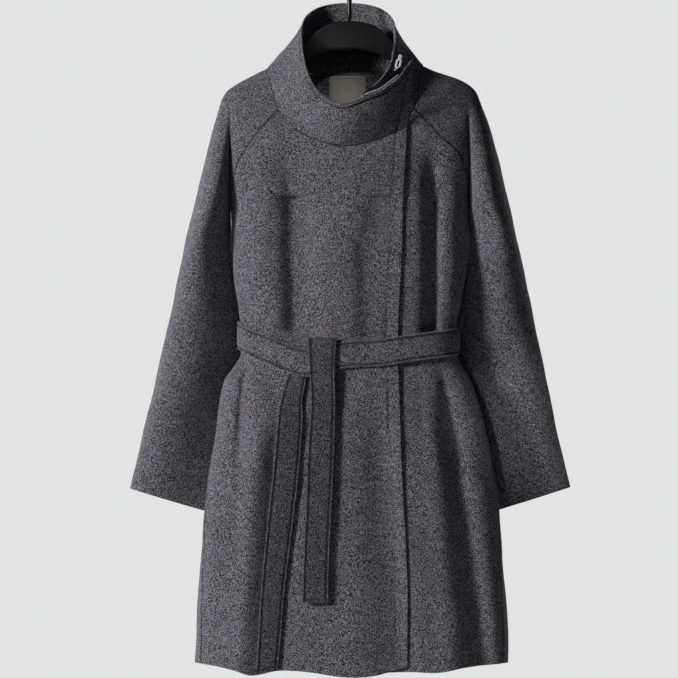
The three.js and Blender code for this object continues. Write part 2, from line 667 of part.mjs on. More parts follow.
// The neck seam's point at a place between two collar stations.
function collarFoot(place) {
  const last = COLLAR.length - 1;
  const from = COLLAR[Math.min(Math.max(Math.floor(place), 0), last - 1)];
  const to = COLLAR[COLLAR.indexOf(from) + 1];
  const t = place - COLLAR.indexOf(from);
  if (from.piece === to.piece) return NECK_EDGES[from.piece](mix(from.at, to.at, t));
  const starts = { frontRight: 0, back: 0, sleeveRight: 0, sleeveLeft: 0 };
  const onNext = to.at > 0 && to.piece in starts;
  return onNext ? NECK_EDGES[to.piece](mix(0, to.at, t)) : NECK_EDGES[from.piece](mix(from.at, 1, t));
}

// A point of the collar's outer face: place is its station, and height goes from 0 at the seam to 1.
function collarPoint(place, height) {
  const at = (column) => along(COLLAR_STATIONS, "station", place, column);
  const rim = new THREE.Vector3(at("rimX"), at("rimY"), at("rimZ"));
  const point = collarFoot(place).lerp(rim, height);
  const outwards = new THREE.Vector3(point.x - NECK_AXIS.x, point.y - NECK_AXIS.y, 0).normalize();
  return point.addScaledVector(outwards, at("belly") * Math.sin(Math.PI * clamp(height)));
}

// The collar's directions at a point: along it, up it and out of it.
function collarFrame(place, height) {
  const step = 0.02;
  const alongIt = collarPoint(place + step, height).sub(collarPoint(place - step, height)).normalize();
  const upIt = collarPoint(place, height).sub(collarPoint(place, height - step)).normalize();
  const outOfIt = alongIt.clone().cross(upIt).normalize();
  return { alongIt: upIt.clone().cross(outOfIt), upIt, outOfIt };
}

function collar() {
  const last = COLLAR.length - 1;
  return wall(
    grid(last * COLLAR_COLUMNS, 5, (u, v) => collarPoint(u * last, mix(1, 0.004, v))),
    CLOTH,
  );
}

// ---------- belt ----------

// A point this far out from the body's unfolded section.
function outsideBody(angle, z, distance) {
  const point = bodyPoint(angle, z, false);
  const next = bodyPoint(angle + 0.01, z, false).sub(point).normalize();
  return point.add(new THREE.Vector3(next.y, -next.x, 0).multiplyScalar(distance));
}

// The band round the waist. It stands a little further out where the tails' hidden ends pass behind it.
function belt() {
  const outer = grid(56, 2, (u, v) => {
    const turned = mix(BELT_END_RIGHT, 360 + BELT_END_LEFT, u);
    const angle = turned > 180 ? turned - 360 : turned;
    const z = along(BELT_LINE, "angle", angle, "z") + BELT_WIDTH * (0.5 - v);
    const rise = KNOT_RISE * smooth((angle + 50) / 14) * smooth((8 - angle) / 12);
    return outsideBody(degrees(angle), z, BELT_OFF + BELT_THICKNESS + rise);
  });
  return wall(outer, BELT_THICKNESS);
}

// The end that comes up behind the band, folds over its top edge and hangs in front.
function beltTailFront() {
  const near = BELT_OFF;
  const far = 3 * BELT_OFF + KNOT_RISE + 2 * BELT_THICKNESS + 0.5;
  const turn = (far - near) / 2;
  const route = [0, 0.5, 1].map((t) => ({ off: near, z: mix(TAIL_FRONT_HIDDEN, TAIL_FRONT_TOP, t) }));
  for (let step = 1; step <= 4; step += 1) {
    const swing = (Math.PI * step) / 4;
    route.push({ off: near + turn * (1 - Math.cos(swing)), z: TAIL_FRONT_TOP + turn * Math.sin(swing) });
  }
  const hanging = 15;
  for (let step = 1; step <= hanging; step += 1) {
    const z = mix(TAIL_FRONT_TOP, TAIL_FRONT_END, step / hanging);
    route.push({ off: mix(far, TAIL_FRONT_OFF, smooth((-682 - z) / 90)), z });
  }
  const outer = route.map(({ off, z }) =>
    [-0.5, 0, 0.5, 1, 1.5].map((u) => {
      const x = mix(along(TAIL_FRONT, "z", z, "left"), along(TAIL_FRONT, "z", z, "right"), u);
      return new THREE.Vector3(x, frontAt(x, z) - off, z);
    }),
  );
  return wall(outer, BELT_THICKNESS);
}

// The other end, which drops from behind the band and hangs to the hem.
function beltTailUnder() {
  const outer = grid(2, 20, (u, v) => {
    const level = mix(TAIL_UNDER_TOP, TAIL_UNDER_END, v ** TAIL_BUNCHING);
    const x = mix(along(TAIL_UNDER, "z", level, "left"), along(TAIL_UNDER, "z", level, "right"), u);
    const z = level + TAIL_UNDER_SLANT * (u - 0.5) * v;
    return new THREE.Vector3(x, frontAt(x, z) - BELT_OFF - BELT_THICKNESS, z);
  });
  return wall(outer, BELT_THICKNESS);
}

// ---------- trimmings ----------

function label() {
  const outer = grid(3, 3, (u, v) => {
    const x = mix(LABEL.left, LABEL.right, u);
    const point = shoulderPoint(x, mix(LABEL.top, LABEL.bottom, v), false);
    point.y -= CLOTH + LABEL.off + LABEL.thick;
    return point;
  });
  return wall(outer, LABEL.thick);
}

// A point this far in from the collar's outer face.
function insideCollar(place, height, distance) {
  return collarPoint(place, height).addScaledVector(collarFrame(place, height).outOfIt, -distance);
}

function zipTape() {
  const tall = (place) => collarPoint(place, 1).distanceTo(collarPoint(place, 0));
  const outer = grid(ZIP.columns, 2, (u, v) => {
    const place = ZIP.to + ((u - 1) * ZIP.columns) / COLLAR_COLUMNS;
    const height = 1 + (ZIP.proud - ZIP.wide * v) / tall(place);
    return insideCollar(place, height, CLOTH + ZIP.off);
  });
  return wall(outer, ZIP.thick);
}

// The slider sits on the tape's upper end and the pull tab stands up from the slider's top.
const sliderFrame = collarFrame(SLIDER.place, SLIDER.height);
const sliderBack = insideCollar(SLIDER.place, SLIDER.height, CLOTH + ZIP.off + ZIP.thick + ZIP.off);

// Places a shape that is drawn across, up and into the coat, with its origin at a world point.
function onCollar(geometry, origin, lean = 0) {
  const { alongIt, upIt, outOfIt } = sliderFrame;
  const basis = new THREE.Matrix4().makeBasis(alongIt, upIt, outOfIt);
  geometry.rotateX(lean);
  geometry.applyMatrix4(basis);
  return geometry.translate(origin.x, origin.y, origin.z);
}

function zipSlider() {
  const { wide, tall, deep } = SLIDER;
  const outline = new THREE.Shape();
  outline.moveTo(-wide / 2, tall / 2);
  outline.lineTo(-wide / 3, -tall / 2);
  outline.lineTo(wide / 3, -tall / 2);
  outline.lineTo(wide / 2, tall / 2);
  outline.closePath();
  const block = new THREE.ExtrudeGeometry(outline, { depth: deep, bevelEnabled: false });
  block.translate(0, 0, -deep);
  return onCollar(block, sliderBack);
}

// The pull tab's foot: the middle of its hinge line.
function pullFoot() {
  const { upIt, outOfIt } = sliderFrame;
  return sliderBack
    .clone()
    .addScaledVector(upIt, SLIDER.tall / 2 + PULL.gap)
    .addScaledVector(outOfIt, -SLIDER.deep / 2);
}

function zipPull() {
  const { wide, long, thick, round, hole, slotTall, slotWide, lean } = PULL;
  const outline = new THREE.Shape();
  outline.moveTo(-wide / 2 + 1, 0);
  outline.lineTo(wide / 2 - 1, 0);
  outline.lineTo(wide / 2, 2);
  outline.lineTo(wide / 2 - 0.6, long - round);
  outline.quadraticCurveTo(wide / 2 - 0.8, long, 0, long);
  outline.quadraticCurveTo(-wide / 2 + 0.8, long, -wide / 2 + 0.6, long - round);
  outline.lineTo(-wide / 2, 2);
  outline.closePath();
  const eye = new THREE.Path().absarc(0, long - round - 0.4, hole, 0, 2 * Math.PI, true);
  const slot = new THREE.Path();
  slot.absarc(0, round + 2 + slotTall, slotWide / 2, 0, Math.PI, false);
  slot.absarc(0, round + 2, slotWide / 2, Math.PI, 2 * Math.PI, false);
  slot.closePath();
  outline.holes.push(eye, slot);
  const tab = new THREE.ExtrudeGeometry(outline, { depth: thick, bevelEnabled: false, curveSegments: 6 });
  tab.translate(0, 0, -thick / 2);
  return onCollar(tab, pullFoot(), degrees(-lean));
}

// ---------- hanger ----------

// The arms' upper line follows the inside of the shoulders.
function hangerBody() {
  const { thick, bevel, drop, tip, tipTall } = HANGER;
  const shoulder = (x) => along(SHOULDERS, x < 0 ? "left" : "right", x, "z") - drop;
  const inset = (z) => z - bevel;
  const armTop = [146, 160, 174, 184, tip];
  const points = [];
  for (const side of [1, -1]) {
    const arm = [
      ...HANGER_TOP.map(({ x, z }) => [side * x, inset(z)]),
      ...armTop.map((x) => [side * x, inset(shoulder(side * x))]),
      [side * tip, shoulder(side * tip) - tipTall],
      ...HANGER_BOTTOM.slice().reverse().map(({ x, z }) => [side * x, z + bevel]),
    ];
    points.push(...(side > 0 ? arm : arm.reverse().slice(1, -1)));
  }
  const outline = new THREE.Shape(points.map(([x, z]) => new THREE.Vector2(x, z)));
  const body = new THREE.ExtrudeGeometry(outline, {
    depth: thick - 2 * bevel,
    bevelThickness: bevel,
    bevelSize: bevel,
    bevelSegments: 2,
  });
  body.rotateX(Math.PI / 2);
  return body.translate(0, thick / 2 - bevel, 0);
}

function hangerHook() {
  const { bar, inside, open, foot } = HOOK;
  const radius = inside + bar;
  const line = [
    new THREE.Vector3(0, 0, foot),
    new THREE.Vector3(0, 0, foot / 1.5),
    new THREE.Vector3(0, 0, -inside - radius - 12),
  ];
  const start = -78;
  const steps = 12;
  for (let step = 0; step <= steps; step += 1) {
    const turn = degrees(mix(start, open, step / steps));
    line.push(new THREE.Vector3(radius * Math.cos(turn), 0, -inside + radius * Math.sin(turn)));
  }
  const section = new THREE.Shape().absarc(0, 0, bar, 0, 2 * Math.PI, false);
  return new THREE.ExtrudeGeometry(section, {
    extrudePath: new THREE.CatmullRomCurve3(line),
    steps: 44,
    curveSegments: 5,
    bevelEnabled: false,
  });
}

// ---------- the coat ----------

const coat = new THREE.Group();
function add(name, geometry, material) {
  const mesh = new THREE.Mesh(geometry, material);
  mesh.name = name;
  coat.add(mesh);
}

add("front_right", frontRight(), WOOL);
add("front_left", frontLeft(), WOOL);
add("back", back(), WOOL);
add("sleeve_right", sleeve("right"), WOOL);
add("sleeve_left", sleeve("left"), WOOL);
add("collar", collar(), WOOL);
add("belt", belt(), WOOL);
add("belt_tail_front", beltTailFront(), WOOL_SHADE);
add("belt_tail_under", beltTailUnder(), WOOL_SHADE);
add("label", label(), SATIN);
add("zip_tape", zipTape(), TAPE);
add("zip_slider", zipSlider(), STEEL);
add("zip_pull", zipPull(), STEEL);
add("hanger_body", hangerBody(), BLACK_PLASTIC);
add("hanger_hook", hangerHook(), BLACK_PLASTIC);

export default coat;
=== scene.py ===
"""The look of a wool wrap coat that hangs on its hanger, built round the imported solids.

Metres in the scene and millimetres in the tables, +Z up. The coat's front faces -Y and its wearer's right
side is at -X. The origin is where the rod touches the inside of the hanger's hook.
"""

import logging
import math
from dataclasses import dataclass, field, replace
from enum import Enum
from typing import Callable, Iterable, Sequence

import bmesh
import bpy
import numpy as np
from mathutils import Matrix, Vector


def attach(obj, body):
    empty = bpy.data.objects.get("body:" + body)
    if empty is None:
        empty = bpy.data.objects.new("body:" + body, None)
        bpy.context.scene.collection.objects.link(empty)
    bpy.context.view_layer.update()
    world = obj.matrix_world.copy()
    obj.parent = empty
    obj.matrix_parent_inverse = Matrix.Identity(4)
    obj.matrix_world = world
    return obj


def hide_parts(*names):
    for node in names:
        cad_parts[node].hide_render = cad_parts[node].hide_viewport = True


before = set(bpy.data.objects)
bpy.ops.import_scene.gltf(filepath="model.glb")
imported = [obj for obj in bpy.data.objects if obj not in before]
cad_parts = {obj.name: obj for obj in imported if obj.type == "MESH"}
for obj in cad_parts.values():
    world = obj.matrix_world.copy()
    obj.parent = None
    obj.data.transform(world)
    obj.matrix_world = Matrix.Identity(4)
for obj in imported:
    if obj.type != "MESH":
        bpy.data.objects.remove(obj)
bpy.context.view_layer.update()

LOG = logging.getLogger("overcoat")
Grid = np.ndarray
Colour = tuple[float, float, float]
Outline = list[tuple[float, float]]

MM = 0.001
CLOTH = 2.4
SEAM = 0.1
# A sewn edge is rounded by this share of its thickness and laps its neighbour by this much.
SEWN_RIM = 0.3
SEAM_LAP = 0.35
FULLNESS = 0.58
ARMPIT = -395.0
HEM = -1161.0
# Where the shoulders' one section begins to part into the body and the sleeves, and how suddenly.
SPLIT_TOP = -225.0
SPLIT_SHARPNESS = 1.7
# At the underarm: the body's half widths and depths, and the sleeves' depth.
UNDERARM = {"left": 196.4, "right": 195.2, "front": 92.0, "back": 78.0, "sleeve": 75.0}
# Folds fade out towards the side line and where the shoulders are thin.
SIDE_FADE = 3.0
FULL_DEPTH = 30.0
SLEEVE_GAP = 1.0
SLEEVE_CLEARANCE = 5.0
BELT_CLEARANCE = 9.0
# The left front lies this far back under the right one, from its free edge at UNDERLAP_END.
UNDERLAP_DROP = 4.2
UNDERLAP_END = 20.0
UNDERLAP_FROM = 98.0
UNDERLAP_REACH = (8.0, 45.0)
EDGE_TOP = -282.0
UNDERLAP_TOP = -309.0
BELT_THICKNESS = 3.0
BELT_WIDTH = 45.0
BELT_OFF = 1.2
KNOT_RISE = 3.5
YOKE_BUNCHING = 1.3


def mix(a: Grid, b: Grid, t: Grid) -> Grid:
    """The value a part t of the way from a to b."""
    return a + (b - a) * t


def smooth(t: Grid) -> Grid:
    """An S-shaped rise from 0 to 1."""
    t = np.clip(t, 0.0, 1.0)
    return t * t * (3.0 - 2.0 * t)


def unit(v: Grid) -> Grid:
    """The vectors of the last axis, each a unit long."""
    return v / np.maximum(np.linalg.norm(v, axis=-1, keepdims=True), 1e-9)


def stack(x: Grid, y: Grid, z: Grid) -> Grid:
    """Points from their coordinates, made the same shape."""
    return np.stack(np.broadcast_arrays(x, y, z), axis=-1).astype(float)


class Track:
    """A smooth curve through a table's rows, which gives any column at any value of the first one."""

    def __init__(self, names: str, rows: Sequence[Sequence[float]]) -> None:
        """Keeps the table.

        Args:
            names: The columns' names, the key's first.
            rows: The rows, with rising or falling keys.
        """
        data = np.array(rows, float)
        if data[-1, 0] < data[0, 0]:
            data = data[::-1]
        self.keys = data[:, 0]
        self.columns = {name: data[:, i + 1] for i, name in enumerate(names.split()[1:])}
        before = np.r_[0, 0 : len(data) - 1]
        after = np.r_[1 : len(data), len(data) - 1]
        self.slopes = {
            name: (values[after] - values[before]) / (self.keys[after] - self.keys[before])
            for name, values in self.columns.items()
        }

    def at(self, column: str, where: Grid) -> Grid:
        """The column's value at each key.

        Args:
            column: The column's name.
            where: The keys.

        Returns:
            The values, in the keys' shape.
        """
        where = np.asarray(where, float)
        values, slopes = self.columns[column], self.slopes[column]
        i = np.clip(np.searchsorted(self.keys, where) - 1, 0, len(self.keys) - 2)
        span = self.keys[i + 1] - self.keys[i]
        t = np.clip((where - self.keys[i]) / span, 0.0, 1.0)
        bend = t * (1.0 - t) * span
        return mix(values[i], values[i + 1], smooth(t)) + bend * (slopes[i] * (1.0 - t) - slopes[i + 1] * t)

    @property
    def ends(self) -> tuple[float, float]:
        """The lowest and the highest key."""
        return float(self.keys[0]), float(self.keys[-1])


BODY = Track(
    "z left right side front back seam",
    [
        (-395, -196.4, 195.2, 0, 92, 78, 90),
        (-465, -193.2, 194.6, -1, 92, 78, 90),
        (-521, -189.9, 191.5, -3, 89, 76, 90),
        (-570, -184, 184.5, -4, 83, 71, 90),
        (-600, -180, 178, -5, 77, 66, 90),
        (-640, -180, 177, -6, 75, 66, 90),
        (-657, -180.5, 177, -7, 75, 67, 90),
        (-675, -191, 186, -7, 75, 70, 90),
        (-694, -204.6, 198.5, -8, 76, 74, 90),
        (-734, -214.7, 213, -9, 87, 77, 89),
        (-784, -220.6, 226, -10, 93, 79, 87),
        (-833, -228.7, 234.3, -11, 95, 81, 85),
        (-894, -236.8, 244.5, -12, 97, 83, 82),
        (-1006, -246.8, 253.5, -12, 100, 86, 78),
        (-1100, -252.1, 260.6, -12, 102, 89, 75),
        (-1175, -254.4, 261.8, -12, 104, 91, 73),
    ],
)
SHOULDERS = Track(
    "z left right front back",
    [
        (-178, -126, 120, 20, 57),
        (-190, -151, 147, 24, 58),
        (-200, -170.7, 176, 28, 60),
        (-210, -187.5, 196.4, 32, 62),
        (-220, -201.5, 208, 37, 64),
        (-234, -210.4, 215.5, 46, 66),
        (-252, -217, 222, 57, 69),
        (-275, -224.7, 231, 68, 72),
        (-312, -233.5, 241.2, 81, 76),
        (-350, -242.5, 250.5, 89, 79),
        (-395, -252.8, 261.5, 92, 80),
    ],
)
RAGLAN = {
    "rightFront": Track(
        "v x z", [(0, -118, -252.5), (0.3, -151, -288.8), (0.62, -183, -336.6), (1, -196.9, -395)]
    ),
    "rightBack": Track("v x z", [(0, -98, -187), (0.35, -142, -262), (0.7, -177, -332), (1, -196.9, -395)]),
    "leftFront": Track("v x z", [(0, 106, -249), (0.3, 145, -290), (0.62, 183, -327), (1, 195.7, -395)]),
    "leftBack": Track("v x z", [(0, 84, -186), (0.35, 136, -262), (0.7, 176, -332), (1, 195.7, -395)]),
}
NECK_POINT = {"right": (-137.3, -183.2), "left": (122.1, -178.9)}
NECK_SEAM_OVER = Track(
    "x z", [(-118, -252.5), (-92, -281), (-55, -302), (-7, -312), (42, -303.6), (95, -282)]
)
NECK_SEAM_UNDER = Track("x z", [(20, -309), (50, -301), (80, -283), (106, -249)])
NECK_SEAM_BACK = Track("x z", [(-98, -187), (-7, -190), (84, -186)])
FRONT_EDGE = Track(
    "z x",
    [
        (-282, 95),
        (-395, 88.6),
        (-497, 85.6),
        (-622, 80),
        (-729, 82.5),
        (-876, 87.6),
        (-1021, 95),
        (-1165, 94.6),
    ],
)
HEM_OVER = Track(
    "x z",
    [
        (-250, -1161),
        (-219, -1165),
        (-190, -1171.5),
        (-158, -1180),
        (-118, -1171.5),
        (-72, -1173),
        (-6, -1182),
        (40, -1180),
        (96, -1165),
    ],
)
HEM_UNDER = Track("x z", [(20, -1176), (101, -1174), (146, -1175), (192, -1167), (258, -1161)])
HEM_BACK = Track(
    "x z", [(-250, -1161), (-150, -1170), (-60, -1165), (40, -1172), (140, -1166), (258, -1161)]
)
SLEEVES = {
    "right": Track(
        "station outX outZ inX inZ deep y",
        [
            (0, -252.8, -395, -197.4, -395, 75, 0),
            (1, -266, -452, -194, -443, 71, 5),
            (2, -278.2, -506, -185, -492, 62, 17),
            (3, -301.5, -612, -171, -597, 49, 33),
            (4, -320.6, -694, -175, -680, 43, 39),
            (5, -342.7, -784, -194, -766, 36, 42),
            (6, -363.8, -876, -217, -920, 27, 43),
        ],
    ),
    "left": Track(
        "station outX outZ inX inZ deep y",
        [
            (0, 261.5, -395, 196.2, -395, 75, 0),
            (1, 273.5, -452, 193, -443, 71, 5),
            (2, 286, -506, 184, -492, 62, 17),
            (3, 308.5, -612, 171, -597, 49, 33),
            (4, 325.3, -694, 176, -680, 43, 39),
            (5, 345.6, -784, 196, -766, 36, 42),
            (6, 365.8, -874, 219, -920, 27, 43),
        ],
    ),
}
COLLAR_PIECES = (
    [("frontLeft", at) for at in (0, 0.4, 0.75, 1)]
    + [("sleeveLeft", at) for at in (0.25, 0.5)]
    + [("back", at) for at in (0, 0.5, 1)]
    + [("sleeveRight", at) for at in (0.5, 0.75)]
    + [("frontRight", at) for at in (0, 0.13, 0.3, 0.52, 0.76, 0.89, 1)]
)
COLLAR = Track(
    "station rimX rimY rimZ belly",
    [
        (0, 14, -97, -236, 0),
        (1, 48, -84, -204, 0),
        (2, 66, -68, -177, 0),
        (3, 72, -44, -150, 0),
        (4, 74, -12, -118, -3),
        (5, 63, 20, -93, -5),
        (6, 38, 42, -77, 2),
        (7, -2, 50, -72, 3),
        (8, -42, 42, -77, 2),
        (9, -66, 20, -92, -6),
        (10, -77, -12, -118, -2),
        (11, -76, -48, -152, 2),
        (12, -67, -80, -192, 5),
        (13, -46, -104, -226, 7),
        (14, -7, -115, -243, 8),
        (15, 38, -109, -219, 6),
        (16, 75, -92, -192, 4),
        (17, 104, -70, -168, 2),
    ],
)
BELT_LINE = Track(
    "angle z",
    [
        (-180, -620),
        (-90, -622),
        (-48, -645),
        (-24, -667),
        (-15, -666),
        (-6, -656),
        (16, -651),
        (42, -641),
        (90, -631),
        (180, -620),
    ],
)
BELT_ENDS = (-14.5, 360.0 - 16.0)
TAIL_FRONT = Track(
    "z left right",
    [
        (-632, -68.5, -20.6),
        (-680, -65.7, -23.4),
        (-732, -63.5, -22.2),
        (-812, -68.5, -24),
        (-915, -72.1, -28.9),
        (-995, -76, -32.7),
        (-1059, -77.4, -33.8),
    ],
)
TAIL_UNDER = Track(
    "z left right",
    [
        (-650, -91, -70),
        (-676, -97, -69.5),
        (-700, -105, -70.5),
        (-729, -113, -76),
        (-759, -118, -75.5),
        (-812, -122, -78.7),
        (-861, -127, -83.3),
        (-960, -137.8, -94.9),
        (-1043, -145.2, -105),
        (-1125, -150, -112),
        (-1172, -153.5, -116.3),
    ],
)


@dataclass(frozen=True)
class Fold:
    """A soft trough in a panel, or a ridge where deep is negative, from (x, top) to (foot, bottom).

    It is wide on each side of its line at the top and spread at the bottom, and lean times that on the
    side of +X.
    """

    x: float
    top: float
    foot: float
    bottom: float
    wide: float
    spread: float
    deep: float
    lean: float = 1.0
    bow: float = 0.0
    runs_out: bool = False

    def depth(self, x: Grid, z: Grid) -> Grid:
        """How far it pushes the cloth inwards.

        Args:
            x: The points' x in the front view.
            z: Their heights.

        Returns:
            The depths, in millimetres.
        """
        t = (z - self.top) / (self.bottom - self.top)
        line = mix(self.x, self.foot, t) + self.bow * np.sin(np.pi * np.clip(t, 0, 1))
        width = mix(self.wide, self.spread, t)
        swell = smooth(t * 3.5) * (1.0 if self.runs_out else smooth((1.0 - t) * 9.0))
        width = width * np.where(x > line, self.lean, 1.0)
        inside = (t > 0) & (t < 1)
        return np.where(inside, self.deep * swell * np.exp(-(((x - line) / width) ** 2)), 0.0)


FRONT_FOLDS = (
    Fold(-97, -266, -88, -648, 19, 19, 12, lean=2.2),
    Fold(-144, -275, -143, -590, 15, 14, -4),
    Fold(-181, -480, -166, -615, 8, 8, 6),
    Fold(23, -430, 25, -640, 16, 16, 5),
    Fold(136, -290, 133, -645, 13, 12, 15),
    Fold(172, -330, 168, -590, 14, 12, -4),
    Fold(-170, -650, -186, -840, 9, 9, 9),
    Fold(-143, -675, -190, -1190, 14, 18, -9, runs_out=True),
    Fold(-112, -690, -150, -1200, 14, 18, 9, runs_out=True),
    Fold(124, -675, 172, -1200, 16, 24, -5, runs_out=True),
    Fold(152, -660, 224, -1210, 14, 22, 18, runs_out=True),
)
BACK_FOLDS = (
    Fold(132, -330, 118, -650, 18, 15, 13),
    Fold(168, -340, 162, -590, 14, 12, -4),
    Fold(20, -400, 14, -650, 24, 14, 7),
    Fold(-112, -340, -120, -650, 16, 15, 12),
    Fold(128, -670, 176, -1200, 14, 22, 16, runs_out=True),
    Fold(90, -680, 116, -1200, 15, 22, -5, runs_out=True),
    Fold(52, -680, 60, -1200, 13, 20, 11, runs_out=True),
    Fold(-40, -670, -58, -1200, 15, 21, 13, runs_out=True),
    Fold(-90, -680, -112, -1200, 15, 22, -5, runs_out=True),
    Fold(-136, -675, -168, -1200, 13, 20, 15, runs_out=True),
)
# Small creases beside the main folds, on the front and on the back.
FRONT_CREASES = (
    Fold(100, -262, 138, -352, 9, 10, 5.0),
    Fold(-91, -256, -85, -650, 26, 26, 11.0, lean=1.3),
    Fold(143, -290, 140, -645, 10, 9, 8.0),
    Fold(50, -320, 48, -655, 26, 26, 9.0, lean=1.3),
    Fold(44, -680, 86, -1200, 28, 46, 13.0, lean=0.55, runs_out=True),
    Fold(-112, -690, -140, -1190, 10, 14, 5.0, runs_out=True),
    Fold(-170, -690, -198, -1190, 10, 14, 4.0, runs_out=True),
    Fold(-174, -540, -167, -618, 4, 4, 2.5),
    Fold(-60, -580, -58, -640, 7, 6, 1.2),
    Fold(-20, -560, -12, -640, 9, 7, 1.2),
    Fold(64, -570, 60, -640, 7, 6, 1.2),
    Fold(160, -540, 157, -625, 6, 6, 1.6),
    Fold(-171, -652, -183, -790, 5, 5, 4.0),
    Fold(-60, -690, -64, -800, 6, 8, 1.4),
    Fold(70, -684, 74, -790, 6, 8, 1.4),
    Fold(112, -676, 122, -800, 6, 9, 1.6),
    Fold(150, -655, 170, -850, 8, 10, 5.0),
)
BACK_CREASES = (
    Fold(160, -520, 156, -620, 6, 6, 2.2),
    Fold(74, -540, 70, -620, 7, 6, 1.8),
    Fold(-30, -540, -28, -620, 8, 7, 1.6),
    Fold(-80, -530, -82, -620, 7, 6, 1.8),
    Fold(-158, -530, -156, -620, 6, 6, 2.2),
    Fold(96, -655, 106, -780, 6, 9, 2.0),
    Fold(0, -655, 0, -780, 7, 9, 1.8),
    Fold(-92, -655, -102, -780, 6, 9, 2.0),
    Fold(156, -655, 168, -760, 5, 8, 2.0),
)


class Ripple:
    """A gentle unevenness of the cloth, as a sum of waves of set directions and phases."""

    def __init__(self, seed: int, length: float, count: int = 9) -> None:
        """Draws the waves.

        Args:
            seed: The draw's seed.
            length: The mean length of a wave, in millimetres.
            count: How many waves there are.
        """
        draw = np.random.default_rng(seed)
        way = unit(draw.normal(size=(count, 3)))
        self.waves = way * (2 * np.pi / (length * draw.uniform(0.6, 1.7, (count, 1))))
        self.phases = draw.uniform(0, 2 * np.pi, count)

    def at(self, points: Grid) -> Grid:
        """The unevenness at each point, mostly between -1 and 1.

        Args:
            points: The points, in millimetres.

        Returns:
            One number for each point.
        """
        turned = points @ self.waves.T + self.phases
        return np.sin(turned).sum(axis=-1) / math.sqrt(len(self.phases) / 1.2)


BROAD_RIPPLE = Ripple(7, 95.0)
FINE_RIPPLE = Ripple(11, 34.0)


def fold_depth(folds: Iterable[Fold], x: Grid, z: Grid) -> Grid:
    """How far the folds together push the cloth inwards.

    Args:
        folds: The folds.
        x: The points' x in the front view.
        z: Their heights.

    Returns:
        The depths, in millimetres.
    """
    total = np.zeros(np.broadcast(x, z).shape)
    for fold in folds:
        total = total + fold.depth(x, z)
    return total


def body_point(angle: Grid, z: Grid, folded: bool = True) -> Grid:
    """Points of the body below the underarm.

    Args:
        angle: Angles round the body in radians, 0 at the front and minus towards -X.
        z: Heights.
        folded: Whether the folds are in it.

    Returns:
        The points.
    """
    across, forward = np.sin(angle), np.cos(angle)
    x = across * np.where(across < 0, -BODY.at("left", z), BODY.at("right", z))
    depth = np.where(forward > 0, BODY.at("front", z), BODY.at("back", z))
    profile = np.sign(forward) * np.abs(forward) ** FULLNESS
    fold = np.zeros(np.broadcast(x, z).shape)
    if folded:
        front = fold_depth(FRONT_FOLDS, x, z) + fold_depth(FRONT_CREASES, x, z)
        behind = fold_depth(BACK_FOLDS, x, z) + fold_depth(BACK_CREASES, x, z)
        fold = np.where(forward > 0, front, behind)
    fade = np.clip(np.abs(forward) * SIDE_FADE, 0, 1)
    return stack(x, BODY.at("side", z) - profile * (depth - fold * fade), z)


def body_angle(x: Grid, z: Grid) -> Grid:
    """The body's angle where its front reaches x."""
    half = np.where(np.asarray(x) < 0, -BODY.at("left", z), BODY.at("right", z))
    return np.arcsin(np.clip(x / half, -1, 1))


def front_at(x: Grid, z: Grid) -> Grid:
    """The y of the body's unfolded front at (x, z)."""
    return body_point(body_angle(x, z), z, False)[..., 1]


def shoulder_point(x: Grid, z: Grid, is_front: Grid) -> Grid:
    """Points of the shoulders above the underarm.

    Args:
        x: The points' x in the front view.
        z: Their heights.
        is_front: Whether each is before the widest line or behind it.

    Returns:
        The points.
    """
    x, z, is_front = np.broadcast_arrays(np.asarray(x, float), np.asarray(z, float), is_front)
    depth = np.where(is_front, SHOULDERS.at("front", z), SHOULDERS.at("back", z))
    outline = np.abs(np.where(x < 0, SHOULDERS.at("left", z), SHOULDERS.at("right", z)))
    body_half = np.where(x < 0, UNDERARM["left"], UNDERARM["right"])
    reach = np.abs(x)
    joined = depth * np.sqrt(np.maximum(0, 1 - (x / outline) ** 2))
    body_depth = np.where(is_front, UNDERARM["front"], UNDERARM["back"])
    over_body = body_depth * np.maximum(0, 1 - (x / body_half) ** 2) ** (FULLNESS / 2)
    half = np.maximum(outline - body_half - SLEEVE_GAP, 1e-6) / 2
    off = (reach - body_half - SLEEVE_GAP - half) / half
    sleeve = UNDERARM["sleeve"] * np.sqrt(np.maximum(0, 1 - off**2))
    over_sleeve = np.where(outline > body_half + SLEEVE_GAP, sleeve, 0.0)
    parted = np.where(reach < body_half, over_body, over_sleeve)
    parting = np.clip((SPLIT_TOP - z) / (SPLIT_TOP - ARMPIT), 0, 1) ** SPLIT_SHARPNESS
    away = mix(joined, parted, parting)
    fold = np.where(is_front, fold_depth(FRONT_FOLDS, x, z), fold_depth(BACK_FOLDS, x, z))
    kept = away - fold * np.clip(away / FULL_DEPTH, 0, 1)
    return stack(x, np.where(is_front, -kept, kept), z)


# ---------- cloth ----------

RIM_STEPS = 4
RIM_SOFTNESS = 2.5
# The depth and half width of the furrow along a seam; its depth also sets how much painted shade darkens it.
SEAM_GROOVE = (1.1, 1.8)
# The panels and sleeves run on under the collar by this share of their yoke.
TURNED_UNDER = -0.012
# Along a stitch: the share of its length, its girth, and how far out of the cloth its middle lies.
STITCH = ((0.0, 0.0, -0.9), (0.12, 0.8, -0.1), (0.5, 1.0, 0.35), (0.88, 0.8, -0.1), (1.0, 0.0, -0.9))


def gaps(grid: Grid, axis: int) -> Grid:
    """How far each point of a grid is along its row or column, in millimetres.

    Args:
        grid: The grid of points.
        axis: 0 along the columns, 1 along the rows.

    Returns:
        The distances from the first row or column.
    """
    steps = np.linalg.norm(np.diff(grid, axis=axis), axis=-1)
    start = [(0, 0), (0, 0)]
    start[axis] = (1, 0)
    return np.cumsum(np.pad(steps, start), axis=axis)


